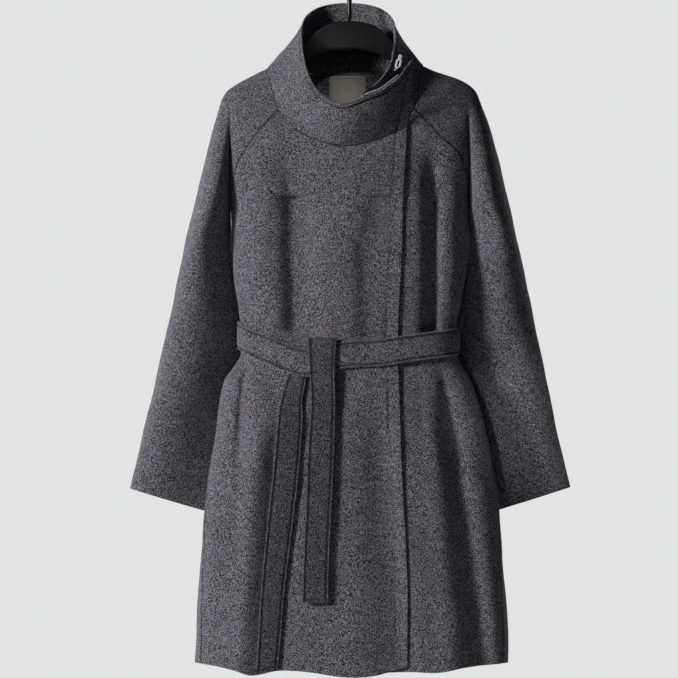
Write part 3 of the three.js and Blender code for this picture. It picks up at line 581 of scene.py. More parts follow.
def facing(grid: Grid) -> Grid:
    """The outward unit normals of a grid whose columns run left to right and rows top to bottom."""
    return unit(np.cross(np.gradient(grid, axis=0), np.gradient(grid, axis=1)))


def pushed(grid: Grid, amount: Grid) -> Grid:
    """The grid with each point moved out by its amount."""
    return grid + facing(grid) * np.asarray(amount)[..., None]


@dataclass
class Cloth:
    """A piece of thick cloth, with its sewn edges and the painted shade that darkens its seam grooves."""

    name: str
    grid: Grid
    thickness: float = CLOTH
    sewn: tuple[str, ...] = ()
    # Painted shade that darkens the seam grooves, from 0 to 1.
    seam_shade: Grid | float = 0.0

    def edge_distances(self) -> dict[str, Grid]:
        """How far each point is from the left, right, top and bottom edges, along the cloth."""
        across, down = gaps(self.grid, 1), gaps(self.grid, 0)
        return {
            "left": across,
            "right": across[:, -1:] - across,
            "top": down,
            "bottom": down[-1:, :] - down,
        }

    def grooved(self, lines: dict[str, Sequence[float]], depth: float, wide: float) -> "Cloth":
        """The cloth with sewn channels along its edges, darkened by painted shade as deep as they are sunk.

        Args:
            lines: The distances of the channels from each named edge.
            depth: How deep they are.
            wide: Their half width.

        Returns:
            The changed cloth.
        """
        away = self.edge_distances()
        sunk = np.zeros(self.grid.shape[:2])
        for edge, places in lines.items():
            for place in places:
                sunk = np.maximum(sunk, np.exp(-(((away[edge] - place) / wide) ** 2)))
        # Painted shade: each channel's colour is darkened by how deep it is sunk.
        flat = np.maximum(self.seam_shade, min(depth, 1.0) * sunk)
        return Cloth(self.name, pushed(self.grid, -depth * sunk), self.thickness, self.sewn, flat)

    def raised(self, edge: str, width: float, rise: float) -> "Cloth":
        """The cloth with a strip along an edge made thicker on its outer side.

        Args:
            edge: The edge.
            width: The strip's width.
            rise: How far it stands up.

        Returns:
            The changed cloth.
        """
        strip = smooth((width - self.edge_distances()[edge]) / RIM_SOFTNESS)
        return Cloth(self.name, pushed(self.grid, rise * strip), self.thickness, self.sewn, self.seam_shade)

    def seam_path(self, edge: str, inset: float, lift: float = 0.0) -> tuple[Grid, Grid]:
        """The line that runs at a distance from an edge, and its normals.

        Args:
            edge: left, right, top or bottom.
            inset: The distance from it.
            lift: How far above the cloth the line lies.

        Returns:
            The points and the normals.
        """
        away = self.edge_distances()[edge]
        normals = facing(self.grid)
        flip = edge in ("right", "bottom")
        axis = 1 if edge in ("left", "right") else 0
        points, ways = [], []
        for k in range(self.grid.shape[1 - axis]):
            pick = (k, slice(None)) if axis else (slice(None), k)
            d, p, n = away[pick], self.grid[pick], normals[pick]
            if flip:
                d, p, n = d[::-1], p[::-1], n[::-1]
            points.append([np.interp(inset, d, p[:, i]) for i in range(3)])
            ways.append([np.interp(inset, d, n[:, i]) for i in range(3)])
        ways = unit(np.array(ways))
        return np.array(points) + ways * lift, ways

    def to_mesh(self) -> bpy.types.Mesh:
        """The closed mesh of the cloth, with rounded edges, its size as UVs and its painted seam shade as an
        attribute.

        Returns:
            The mesh, in metres.
        """
        p, n = self.grid, facing(self.grid)
        rows, columns = p.shape[:2]
        radius = self.thickness / 2
        right = unit(p[:, 1:] - p[:, :-1])
        down = unit(p[1:] - p[:-1])
        rim = {edge: radius * (SEWN_RIM if edge in self.sewn else 1.0) for edge in self.edge_distances()}
        past = {edge: SEAM_LAP if edge in self.sewn else 0.0 for edge in rim}
        inset = {0: rim["left"], columns - 1: rim["right"]}
        swing = np.linspace(0, np.pi, 2 * RIM_STEPS + 1)[1:-1]
        # Round a row and down a column, each entry gives the grid's place, how far inside the edge it is,
        # and how far out of the middle.
        ring = [(i, inset.get(i, 0.0), 1.0) for i in range(columns)]
        ring += [(columns - 1, rim["right"] * (1 - math.sin(a)) - past["right"], math.cos(a)) for a in swing]
        ring += [(i, inset.get(i, 0.0), -1.0) for i in reversed(range(columns))]
        ring += [(0, rim["left"] * (1 - math.sin(a)) - past["left"], math.cos(a)) for a in swing[::-1]]
        quarter = np.linspace(np.pi / 2, 0, RIM_STEPS + 1)
        levels = [(0, rim["top"] * (1 - math.sin(a)) - past["top"], math.cos(a)) for a in quarter]
        levels += [(j, 0.0, 1.0) for j in range(1, rows - 1)]
        levels += [(rows - 1, rim["bottom"] * (1 - math.sin(a)), math.cos(a)) for a in quarter[::-1]]
        i = np.array([r[0] for r in ring])
        a = np.array([r[1] for r in ring]) * np.where(i == 0, 1, -1)
        s = np.array([r[2] for r in ring])
        j = np.array([r[0] for r in levels])
        b = np.array([r[1] for r in levels]) * np.where(j == 0, 1, -1)
        c = np.array([r[2] for r in levels])
        jj, ii = np.meshgrid(j, i, indexing="ij")
        beside = right[jj, np.minimum(ii, columns - 2)]
        below = down[np.minimum(jj, rows - 2), ii]
        sunk = radius - radius * s[None, :] * c[:, None]
        points = p[jj, ii] + beside * a[None, :, None] + below * b[:, None, None]
        points = points - n[jj, ii] * sunk[..., None]
        across, along = gaps(p, 1)[jj, ii], gaps(p, 0)[jj, ii]
        count, turn = len(levels), len(ring)
        first = np.arange(count - 1)[:, None] * turn + np.arange(turn)[None, :]
        following = np.arange(count - 1)[:, None] * turn + (np.arange(turn)[None, :] + 1) % turn
        faces = np.stack([first, first + turn, following + turn, following], axis=-1).reshape(-1, 4)
        mesh = bpy.data.meshes.new(self.name)
        mesh.from_pydata((points.reshape(-1, 3) * MM).tolist(), [], faces.tolist())
        uv = np.stack([across, along], axis=-1).reshape(-1, 2) * MM
        layer = mesh.uv_layers.new(name="UVMap")
        layer.data.foreach_set("uv", uv[faces.reshape(-1)].astype(np.float32).ravel())
        # The painted seam shade goes onto the outer face only, as an attribute that the wool's material
        # reads.
        outside = np.clip(s[None, :] * c[:, None], 0, 1)
        flat = np.broadcast_to(self.seam_shade, p.shape[:2])[jj, ii] * outside
        nap = mesh.attributes.new("seam_shade", "FLOAT", "POINT")
        nap.data.foreach_set("value", flat.astype(np.float32).ravel())
        weld(mesh)
        return mesh


def weld(mesh: bpy.types.Mesh, distance: float = 2e-6) -> None:
    """Joins the points of a mesh that lie on each other, and shades it smoothly.

    Args:
        mesh: The mesh.
        distance: How near two points are to be one.
    """
    work = bmesh.new()
    work.from_mesh(mesh)
    bmesh.ops.remove_doubles(work, verts=work.verts, dist=distance)
    bmesh.ops.recalc_face_normals(work, faces=work.faces)
    for face in work.faces:
        face.smooth = True
    work.to_mesh(mesh)
    work.free()


def tube_faces(rings: int, sides: int, base: int = 0) -> list[list[int]]:
    """The faces of a capped tube.

    Args:
        rings: How many rings of points it has.
        sides: How many points a ring has.
        base: The number of its first point.

    Returns:
        Each face's point numbers.
    """
    faces = []
    for low in range(base, base + (rings - 1) * sides, sides):
        for k in range(sides):
            following = (k + 1) % sides
            faces.append([low + k, low + following, low + sides + following, low + sides + k])
    faces.append([base + k for k in reversed(range(sides))])
    faces.append([base + (rings - 1) * sides + k for k in range(sides)])
    return faces


def plate(name: str, outlines: Sequence[Outline], half: float, bevel: float, steps: int) -> bpy.types.Mesh:
    """A flat plate with rounded edges.

    Args:
        name: Its name.
        outlines: Its edge and its holes, each a closed line in its plane.
        half: Half its thickness, without the rounding.
        bevel: The rounding's size.
        steps: How fine the rounding is.

    Returns:
        The mesh, in metres, flat in X and Y.
    """
    curve = bpy.data.curves.new(name, "CURVE")
    curve.dimensions = "2D"
    curve.fill_mode = "BOTH"
    for points in outlines:
        spline = curve.splines.new("POLY")
        spline.points.add(len(points) - 1)
        for point, (x, y) in zip(spline.points, points):
            point.co = (x * MM, y * MM, 0.0, 1.0)
        spline.use_cyclic_u = True
    curve.extrude = half * MM
    curve.bevel_depth = bevel * MM
    curve.bevel_resolution = steps
    holder = bpy.data.objects.new(name, curve)
    mesh = bpy.data.meshes.new_from_object(holder)
    bpy.data.objects.remove(holder)
    bpy.data.curves.remove(curve)
    mesh.name = name
    return mesh


def make_object(name: str, mesh: bpy.types.Mesh, material: bpy.types.Material) -> bpy.types.Object:
    """Adds a mesh to the scene.

    Args:
        name: The piece's name.
        mesh: Its mesh.
        material: Its material.

    Returns:
        The new object.
    """
    piece = bpy.data.objects.new(name, mesh)
    bpy.context.scene.collection.objects.link(piece)
    mesh.materials.append(material)
    return piece


class Body(Enum):
    """The bodies that the pieces ride on."""

    COAT = "coat"
    PULL = "pull_tab"


def settle(piece: bpy.types.Object, body: Body, slot: str, *nodes: str) -> bpy.types.Object:
    """Says which body a piece moves with and hides the solids it stands for.

    Args:
        piece: The piece.
        body: The body it rides on.
        slot: Not used.
        *nodes: The nodes it replaces.

    Returns:
        The piece.
    """
    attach(piece, body.value)
    if nodes:
        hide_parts(*nodes)
    LOG.info("%s: %d faces on %s", piece.name, len(piece.data.polygons), body.value)
    return piece


@dataclass
class Thread:
    """A row of sewn stitches along lines that lie on the cloth."""

    length: float = 3.4
    space: float = 1.1
    radius: float = 0.33
    sides: int = 6
    thinnest: float = 0.25

    def stitches(self, points: Grid, normals: Grid) -> tuple[list[Grid], list[list[int]]]:
        """The stitches of one line.

        Args:
            points: The line's points.
            normals: The cloth's normals along it.

        Returns:
            The stitches' points and their faces.
        """
        reach = np.r_[0, np.cumsum(np.linalg.norm(np.diff(points, axis=0), axis=1))]
        pitch = self.length + self.space
        starts = np.arange(self.space / 2, reach[-1] - self.length, pitch)
        verts: list[Grid] = []
        faces: list[list[int]] = []
        for start in starts:
            base = len(verts)
            where = [start + share * self.length for share, _, _ in STITCH]
            middle = np.stack([np.interp(where, reach, points[:, k]) for k in range(3)], axis=1)
            up = unit(np.stack([np.interp(where, reach, normals[:, k]) for k in range(3)], axis=1))
            way = unit(middle[-1] - middle[0])
            for (_, girth, lift), place, out in zip(STITCH, middle, up):
                side = np.cross(way, out)
                centre = place + out * lift * self.radius
                for k in range(self.sides):
                    turn = 2 * math.pi * k / self.sides
                    swing = side * math.cos(turn) + out * math.sin(turn)
                    verts.append(centre + swing * self.radius * max(girth, self.thinnest))
            faces += tube_faces(len(STITCH), self.sides, base)
        return verts, faces

    def sew(
        self, name: str, lines: Sequence[tuple[Grid, Grid]], material: bpy.types.Material
    ) -> bpy.types.Object:
        """Makes one piece of all the stitches along some lines.

        Args:
            name: The piece's name.
            lines: Each line's points and normals.
            material: The thread's material.

        Returns:
            The piece.
        """
        verts: list[Grid] = []
        faces: list[list[int]] = []
        for points, normals in lines:
            new_verts, new_faces = self.stitches(points, normals)
            faces += [[k + len(verts) for k in face] for face in new_faces]
            verts += new_verts
        mesh = bpy.data.meshes.new(name)
        mesh.from_pydata((np.array(verts) * MM).tolist(), [], faces)
        for face in mesh.polygons:
            face.use_smooth = True
        return settle(make_object(name, mesh, material), Body.COAT, "wool")


# ---------- the coat's pieces ----------


def pulled_in(u: Grid, length: Grid) -> Grid:
    """Moves a place from 0 to 1 in from both ends by half a seam gap of a line that long."""
    return mix(SEAM / 2 / length, 1 - SEAM / 2 / length, u)


def spread(columns: int, rows: int) -> tuple[Grid, Grid]:
    """The places across and down of a grid with so many columns and rows."""
    return np.meshgrid(np.linspace(0, 1, columns), np.linspace(0, 1, rows))


@dataclass(frozen=True)
class Panel:
    """The edges of a body panel."""

    name: str
    columns: int
    top: Callable[[Grid], tuple[Grid, Grid]]
    left: Callable[[Grid], tuple[Grid, Grid]]
    right: Callable[[Grid], tuple[Grid, Grid]]
    angles: Callable[[Grid], tuple[Grid, Grid]]
    hem: Track
    sewn: tuple[str, ...]
    is_front: bool = True
    drop: Callable[[Grid, Grid], Grid] = lambda x, seam: np.zeros(np.shape(x))


def raglan(name: str) -> Callable[[Grid], tuple[Grid, Grid]]:
    """A raglan seam as a function of a place from 0 to 1."""
    return lambda v: (RAGLAN[name].at("x", v), RAGLAN[name].at("z", v))


def seam_line(table: Track, flip: bool = False) -> Callable[[Grid], tuple[Grid, Grid]]:
    """A neck seam as a function of a place from 0 to 1, from its right end where flip is set."""

    def line(u: Grid) -> tuple[Grid, Grid]:
        """The seam's x and z at a place."""
        low, high = table.ends
        x = mix(high, low, np.asarray(u, float)) if flip else mix(low, high, np.asarray(u, float))
        return x, table.at("z", x)

    return line


def side_seam(z: Grid) -> Grid:
    """The side seam's angle at a height."""
    return np.radians(BODY.at("seam", z))


def underlap_drop(x: Grid, seam_x: Grid) -> Grid:
    """How far the left front lies back at x, from nothing at its sleeve or side seam."""
    least, most = UNDERLAP_REACH
    reach = np.minimum(most, np.maximum(seam_x - UNDERLAP_FROM, least))
    return UNDERLAP_DROP * smooth((seam_x - x) / reach)


FRONT_RIGHT = Panel(
    "front_right_cloth",
    96,
    seam_line(NECK_SEAM_OVER),
    raglan("rightFront"),
    lambda v: (FRONT_EDGE.at("x", mix(EDGE_TOP, ARMPIT, v)), mix(EDGE_TOP, ARMPIT, v)),
    lambda z: (-side_seam(z), body_angle(FRONT_EDGE.at("x", z), z)),
    HEM_OVER,
    ("top", "left"),
)
FRONT_LEFT = Panel(
    "front_left_cloth",
    74,
    seam_line(NECK_SEAM_UNDER),
    lambda v: (UNDERLAP_END + 0 * v, mix(UNDERLAP_TOP, ARMPIT, v)),
    raglan("leftFront"),
    lambda z: (body_angle(UNDERLAP_END + 0 * z, z), side_seam(z)),
    HEM_UNDER,
    ("top", "right"),
    drop=underlap_drop,
)
BACK = Panel(
    "back_cloth",
    126,
    seam_line(NECK_SEAM_BACK, flip=True),
    raglan("leftBack"),
    raglan("rightBack"),
    lambda z: (side_seam(z), 2 * np.pi - side_seam(z)),
    HEM_BACK,
    ("top", "left", "right"),
    is_front=False,
)


@dataclass
class CoatBody:
    """The two fronts and the back."""

    yoke_rows: int = 46
    skirt_rows: int = 210
    radius: float = 200.0
    placket: float = 21.0
    placket_rise: float = 1.0
    placket_groove: tuple[float, float] = (1.0, 1.9)
    collar_foot: float = -300.0
    broad: float = 0.7
    fine: float = 0.2

    def surface(self, panel: Panel) -> Grid:
        """The outer face of a panel, down to its hem.

        Args:
            panel: The panel's edges.

        Returns:
            Its grid of points.
        """
        first, last = panel.angles(np.array(ARMPIT))
        u, row = spread(panel.columns, self.yoke_rows)
        v = mix(TURNED_UNDER, 1, row**YOKE_BUNCHING)
        share = (np.sin(mix(first, last, u)) - np.sin(first)) / (np.sin(last) - np.sin(first))
        width = abs(float(panel.right(np.array(0.0))[0] - panel.left(np.array(0.0))[0]))
        place = pulled_in(mix(u, share, smooth(v)), width)
        bottom_left, bottom_right = panel.left(np.array(1.0))[0], panel.right(np.array(1.0))[0]
        bottoms = (mix(bottom_left, bottom_right, place), np.full(u.shape, ARMPIT))
        spots = []
        for axis in (0, 1):
            straight = mix(panel.top(place)[axis], bottoms[axis], v)
            bends = []
            for edge in (panel.left, panel.right):
                ends = edge(np.array(0.0))[axis], edge(np.array(1.0))[axis]
                bends.append(edge(v)[axis] - mix(ends[0], ends[1], v))
            spots.append(straight + mix(bends[0], bends[1], place))
        yoke = shoulder_point(spots[0], spots[1], np.full(u.shape, panel.is_front))
        yoke[..., 1] += panel.drop(spots[0], panel.right(v)[0])
        u, row = spread(panel.columns, self.skirt_rows)
        level = mix(ARMPIT, HEM, row)
        start, end = panel.angles(level)
        angle = mix(start, end, pulled_in(u, self.radius * (end - start)))
        across = body_point(angle, level)[..., 0]
        skirt = body_point(angle, level + (panel.hem.at("z", across) - HEM) * row**4)
        skirt[..., 1] += panel.drop(skirt[..., 0], body_point(end, skirt[..., 2])[..., 0])
        return np.concatenate([yoke[:-1], skirt])

    def worn(self, grid: Grid) -> Grid:
        """The surface with the cloth's own unevenness in it."""
        return pushed(grid, self.broad * BROAD_RIPPLE.at(grid) + self.fine * FINE_RIPPLE.at(grid))

    def build(self, wool: bpy.types.Material, thread: bpy.types.Material) -> None:
        """Makes the three panels and the placket's stitching.

        Args:
            wool: The cloth's material.
            thread: The thread's material.
        """
        for panel, node in ((FRONT_RIGHT, "front_right"), (FRONT_LEFT, "front_left"), (BACK, "back")):
            cloth = Cloth(panel.name, self.worn(self.surface(panel)), sewn=panel.sewn)
            cloth = cloth.grooved({edge: [0.0] for edge in panel.sewn}, *SEAM_GROOVE)
            if panel is FRONT_RIGHT:
                cloth = cloth.raised("right", self.placket, self.placket_rise)
                cloth = cloth.grooved({"right": [self.placket]}, *self.placket_groove)
                line = cloth.seam_path("right", self.placket, lift=0.1)
                keep = line[0][:, 2] < self.collar_foot
                Thread().sew("placket_stitches", [(line[0][keep], line[1][keep])], thread)
            piece = settle(make_object(panel.name, cloth.to_mesh(), wool), Body.COAT, "wool", node)


@dataclass
class Sleeves:
    """The two raglan sleeves."""

    columns: int = 92
    yoke_rows: int = 46
    arm_rows: int = 130
    yoke_width: float = 150.0
    girth: float = 400.0
    beside_belt: tuple[float, float] = (-690.0, -585.0)
    parting: float = 60.0
    turned: dict[str, tuple[float, float]] = field(
        default_factory=lambda: {"right": (0.36, 0.85), "left": (0.36, 0.1)}
    )
    broad: float = 0.9
    fine: float = 0.2

    def surface(self, side: str) -> Grid:
        """The outer face of a sleeve.

        Args:
            side: right or left, the wearer's.

        Returns:
            Its grid of points.
        """
        is_right = side == "right"
        seams = [raglan(side + "Back"), raglan(side + "Front")]
        start_seam, end_seam = seams if is_right else seams[::-1]
        u, row = spread(self.columns, self.yoke_rows)
        v = mix(TURNED_UNDER, 1, row**YOKE_BUNCHING)
        across = pulled_in(u, self.yoke_width)
        first_half = across < 0.5
        t = np.where(first_half, 2 * across, 2 - 2 * across)
        rounded = (1 - np.cos(t * np.pi)) / 2
        to_ridge = mix(np.sin(t * np.pi / 2), rounded, smooth(v))
        ridge_z = mix(NECK_POINT[side][1], ARMPIT, v)
        ridge_x = SHOULDERS.at("left" if is_right else "right", ridge_z)
        begin, finish = start_seam(v), end_seam(v)
        x = mix(np.where(first_half, begin[0], finish[0]), ridge_x, to_ridge)
        z = mix(np.where(first_half, begin[1], finish[1]), ridge_z, to_ridge)
        yoke = shoulder_point(x, z, first_half != is_right)
        table = SLEEVES[side]
        u, row = spread(self.columns, self.arm_rows)
        station = row * table.ends[1]
        turn = 2 * np.pi * pulled_in(u, self.girth)
        to_outer = (1 - np.cos(turn)) / 2
        x = mix(table.at("inX", station), table.at("outX", station), to_outer)
        z = mix(table.at("inZ", station), table.at("outZ", station), to_outer)
        away = (1 if is_right else -1) * table.at("deep", station) * np.sin(turn)
        lean = mix(*self.turned[side], smooth(row)) * smooth(row * 5) * (2 * to_outer - 1)
        away = away * np.where(away < 0, 1 + lean, 1)
        arm = self.clear_of_body(stack(x, table.at("y", station) + away, z))
        return np.concatenate([yoke[:-1], arm])

    def clear_of_body(self, points: Grid) -> Grid:
        """Moves points out sideways until they clear the body and the belt."""
        x, y, z = points[..., 0], points[..., 1], points[..., 2]
        half = np.where(x < 0, -BODY.at("left", z), BODY.at("right", z))
        off = y - BODY.at("side", z)
        reach = np.abs(off) / np.where(off < 0, BODY.at("front", z), BODY.at("back", z))
        edge = half * np.sqrt(np.maximum(0, 1 - reach ** (2 / FULLNESS)))
        beside = (z < self.beside_belt[1]) & (z > self.beside_belt[0])
        clearance = np.where(beside, BELT_CLEARANCE, SLEEVE_CLEARANCE)
        gap = mix(SLEEVE_GAP, clearance, smooth((ARMPIT - z) / self.parting))
        moved = points.copy()
        moved[..., 0] = np.sign(x) * np.maximum(np.abs(x), edge + gap)
        return moved

    def build(self, wool: bpy.types.Material) -> None:
        """Makes both sleeves."""
        for side in ("right", "left"):
            grid = self.surface(side)
            bulge = self.broad * BROAD_RIPPLE.at(grid) + self.fine * FINE_RIPPLE.at(grid)
            node = f"sleeve_{side}"
            cloth = Cloth(f"{node}_cloth", pushed(grid, bulge), sewn=("top", "left", "right"))
            cloth = cloth.grooved({edge: [0.0] for edge in cloth.sewn}, *SEAM_GROOVE)
            piece = settle(make_object(cloth.name, cloth.to_mesh(), wool), Body.COAT, "wool", node)


@dataclass
class Collar:
    """The funnel collar, which starts behind the flap, goes round the neck and ends at the flap's edge."""

    columns: int = 230
    rows: int = 44
    axis: tuple[float, float] = (-5.0, -20.0)
    rim_stitch: float = 9.0
    roll: float = 1.2
    placket: float = 21.0
    thickness: float = 3.8
    groove: tuple[float, float] = (1.9, 2.1)
    foot_groove: tuple[float, float] = (0.5, 2.0)
    tucked: float = -0.003
    dip: float = 11.0
    dip_start: tuple[float, float] = (14.2, 1.3)
    dip_end: tuple[float, float] = (17.0, 0.9)

    @staticmethod
    def neck_edge(piece: str, at: float) -> Grid:
        """A point of the neck seam at a place along one piece's edge."""
        if piece in ("sleeveRight", "sleeveLeft"):
            side = piece[6:].lower()
            is_front = at > 0.5 if side == "right" else at < 0.5
            seam = RAGLAN[side + ("Front" if is_front else "Back")]
            ridge = NECK_POINT[side]
            to_ridge = math.sin((1 - abs(2 * at - 1)) * math.pi / 2)
            x = mix(float(seam.at("x", 0)), ridge[0], to_ridge)
            z = mix(float(seam.at("z", 0)), ridge[1], to_ridge)
            return shoulder_point(x, z, is_front)
        table = {"frontRight": NECK_SEAM_OVER, "frontLeft": NECK_SEAM_UNDER, "back": NECK_SEAM_BACK}[piece]
        x, z = seam_line(table, flip=piece == "back")(np.array(at))
        point = shoulder_point(x, z, piece != "back")
        if piece == "frontLeft":
            point[1] += UNDERLAP_DROP * float(smooth((1 - at) * 10))
        return point

    def foot(self, place: float) -> Grid:
        """The neck seam's point at a place between two stations."""
        i = int(min(max(math.floor(place), 0), len(COLLAR_PIECES) - 2))
        (piece, at), (next_piece, next_at) = COLLAR_PIECES[i], COLLAR_PIECES[i + 1]
        t = place - i
        if piece == next_piece:
            return self.neck_edge(piece, mix(at, next_at, t))
        if next_at > 0 and next_piece != "frontLeft":
            return self.neck_edge(next_piece, mix(0, next_at, t))
        return self.neck_edge(piece, mix(at, 1, t))

    def points(self, place: float, height: Grid) -> Grid:
        """Points of the outer face.

        Args:
            place: The station.
            height: Heights from 0 at the seam to 1 at the rim.

        Returns:
            One point for each height.
        """
        height = np.asarray(height, float)[..., None]
        rim = np.array([float(COLLAR.at(name, place)) for name in ("rimX", "rimY", "rimZ")])
        spot = mix(self.foot(place), rim, height)
        outwards = spot[..., :2] - np.array(self.axis)
        outwards = np.concatenate([unit(outwards), np.zeros_like(height)], axis=-1)
        return spot + outwards * float(COLLAR.at("belly", place)) * np.sin(np.pi * np.clip(height, 0, 1))

    def directions(self, place: float, height: float) -> tuple[Grid, Grid, Grid]:
        """The directions along the collar, up it and out of it at a point."""
        step = 0.02
        along = unit(self.points(place + step, height) - self.points(place - step, height))
        up = unit(self.points(place, height) - self.points(place, height - step))
        out = unit(np.cross(along, up))
        return np.cross(up, out), up, out

    def dipped(self, place: Grid) -> Grid:
        """How far the flap's rim sags below the zip at a station."""
        start, rise = self.dip_start
        end, fall = self.dip_end
        return self.dip * smooth((place - start) / rise) * smooth((end - place) / fall)

    def surface(self) -> Grid:
        """The outer face, from its tucked-in end to the flap's edge."""
        places = np.linspace(0, len(COLLAR_PIECES) - 1, self.columns)
        heights = np.linspace(1, self.tucked, self.rows)
        grid = np.stack([self.points(float(place), heights) for place in places], axis=1)
        grid[..., 2] -= self.dipped(places) * heights[:, None] ** 2
        doubled = (self.thickness - CLOTH) * smooth(heights * 3.5)
        return pushed(grid, np.broadcast_to(doubled[:, None], grid.shape[:2]))

    def build(self, wool: bpy.types.Material, thread: bpy.types.Material) -> None:
        """Makes the collar and the stitching along its rim and the flap's edge.

        Args:
            wool: The cloth's material.
            thread: The thread's material.
        """
        grid = self.surface()
        grid = pushed(grid, 0.5 * BROAD_RIPPLE.at(grid * 1.3) + 0.15 * FINE_RIPPLE.at(grid))
        cloth = Cloth("collar_cloth", grid, self.thickness, ("bottom",))
        cloth = cloth.raised("top", self.rim_stitch, self.roll)
        cloth = cloth.grooved({"top": [self.rim_stitch], "right": [self.placket]}, *self.groove)
        cloth = cloth.grooved({"bottom": [0.0]}, *self.foot_groove)
        lines = [cloth.seam_path("top", self.rim_stitch, lift=0.1)]
        front = cloth.seam_path("right", self.placket, lift=0.1)
        below = slice(cloth.grid.shape[0] // 4, -1)
        lines.append((front[0][below], front[1][below]))
        Thread().sew("collar_stitches", lines, thread)
        piece = settle(make_object(cloth.name, cloth.to_mesh(), wool), Body.COAT, "wool", "collar")


@dataclass
class Belt:
    """The band round the waist and its two hanging ends."""

    inset: float = 4.8
    band_columns: int = 330
    across: int = 27
    plump: float = 1.4
    groove: tuple[float, float] = (1.5, 1.9)
    knot: tuple[float, float] = (-50.0, 8.0)
    fold_height: float = -634.0
    front_foot: float = -1059.0
    behind_foot: float = -676.0
    behind_rows: int = 10
    fold_rows: int = 14
    hanging_rows: int = 109
    under_rows: int = 132
    under_top: float = -650.0
    under_foot: float = -1172.0
    under_slant: float = 9.0
    under_lean: float = 11.0
    front_lean: float = 5.0
    stand_off: float = 8.0

    @staticmethod
    def outside_body(angle: Grid, z: Grid, distance: Grid) -> Grid:
        """Points so far out from the body's unfolded section."""
        point = body_point(angle, z, False)
        following = unit(body_point(angle + 0.01, z, False) - point)
        out = np.stack([following[..., 1], -following[..., 0], np.zeros(following.shape[:-1])], axis=-1)
        return point + out * np.asarray(distance)[..., None]

    def band(self) -> Grid:
        """The band's outer face."""
        u, v = spread(self.band_columns, self.across)
        turned = mix(BELT_ENDS[0], BELT_ENDS[1], u)
        angle = np.where(turned > 180, turned - 360, turned)
        z = BELT_LINE.at("z", angle) + BELT_WIDTH * (0.5 - v)
        rise = KNOT_RISE * smooth((angle - self.knot[0]) / 14) * smooth((self.knot[1] - angle) / 12)
        return self.outside_body(np.radians(angle), z, BELT_OFF + BELT_THICKNESS + rise)

    def front_tail(self) -> Grid:
        """The outer face of the end that comes up behind the band, folds over it and hangs in front."""
        near = BELT_OFF
        far = 3 * BELT_OFF + KNOT_RISE + 2 * BELT_THICKNESS + 0.5
        turn = (far - near) / 2
        swing = np.linspace(0, np.pi, self.fold_rows + 1)[1:]
        hanging = np.linspace(self.fold_height, self.front_foot, self.hanging_rows + 1)[1:]
        behind = np.linspace(self.behind_foot, self.fold_height, self.behind_rows)
        off = np.r_[
            np.full(self.behind_rows, near),
            near + turn * (1 - np.cos(swing)),
            mix(far, self.stand_off, smooth((-682 - hanging) / 90)),
        ]
        z = np.r_[behind, self.fold_height + turn * np.sin(swing), hanging]
        grid = self.ribbon(TAIL_FRONT, z, off)
        held = self.behind_rows + self.fold_rows
        free = np.r_[np.zeros(held), smooth((-690 - z[held:]) / 60)][:, None]
        grid[..., 1] -= self.front_lean * free * np.linspace(1, 0, self.across)
        return grid

    def under_tail(self) -> Grid:
        """The outer face of the end that drops from behind the band."""
        u, v = spread(self.across, self.under_rows)
        level = mix(self.under_top, self.under_foot, v**1.15)
        x = mix(TAIL_UNDER.at("left", level), TAIL_UNDER.at("right", level), u)
        z = level + self.under_slant * (u - 0.5) * v
        lean = self.under_lean * (1 - u) * smooth((-700 - level) / 70)
        return stack(x, front_at(x, z) - BELT_OFF - BELT_THICKNESS - lean, z)

    def ribbon(self, table: Track, z: Grid, off: Grid) -> Grid:
        """A ribbon that lies before the body.

        Args:
            table: Its edges at each height.
            z: The heights of its rows.
            off: How far before the body they are.

        Returns:
            The grid of points.
        """
        u = np.linspace(0, 1, self.across)[None, :]
        x = mix(table.at("left", z)[:, None], table.at("right", z)[:, None], u)
        return stack(x, front_at(x, z[:, None]) - off[:, None], z[:, None])

    def build(
        self, wool: bpy.types.Material, shaded_wool: bpy.types.Material, thread: bpy.types.Material
    ) -> None:
        """Makes the three lengths and the stitching along their edges.

        Args:
            wool: The band's material.
            shaded_wool: The material of the hanging ends, the band's wool in darker colours, which is
                painted shade.
            thread: The thread's material.
        """
        plans = (
            ("belt_band", self.band(), "belt", ("top", "bottom")),
            ("belt_end_front", self.front_tail(), "belt_tail_front", ("left", "right", "bottom")),
            ("belt_end_under", self.under_tail(), "belt_tail_under", ("left", "right", "bottom")),
        )
        lines = []
        for name, grid, node, edges in plans:
            grid = pushed(grid, np.full(grid.shape[:2], self.plump))
            cloth = Cloth(name, grid, BELT_THICKNESS + self.plump)
            cloth = cloth.grooved({edge: [self.inset] for edge in edges}, *self.groove)
            for edge in edges:
                points, normals = cloth.seam_path(edge, self.inset, lift=0.08)
                trim = slice(2, -2) if edge == "bottom" else slice(None)
                lines.append((points[trim], normals[trim]))
            # The hanging ends get the darker copy of the wool, which is painted shade.
            finish = wool if node == "belt" else shaded_wool
            piece = settle(make_object(name, cloth.to_mesh(), finish), Body.COAT, "wool", node)
        Thread().sew("belt_stitches", lines, thread)


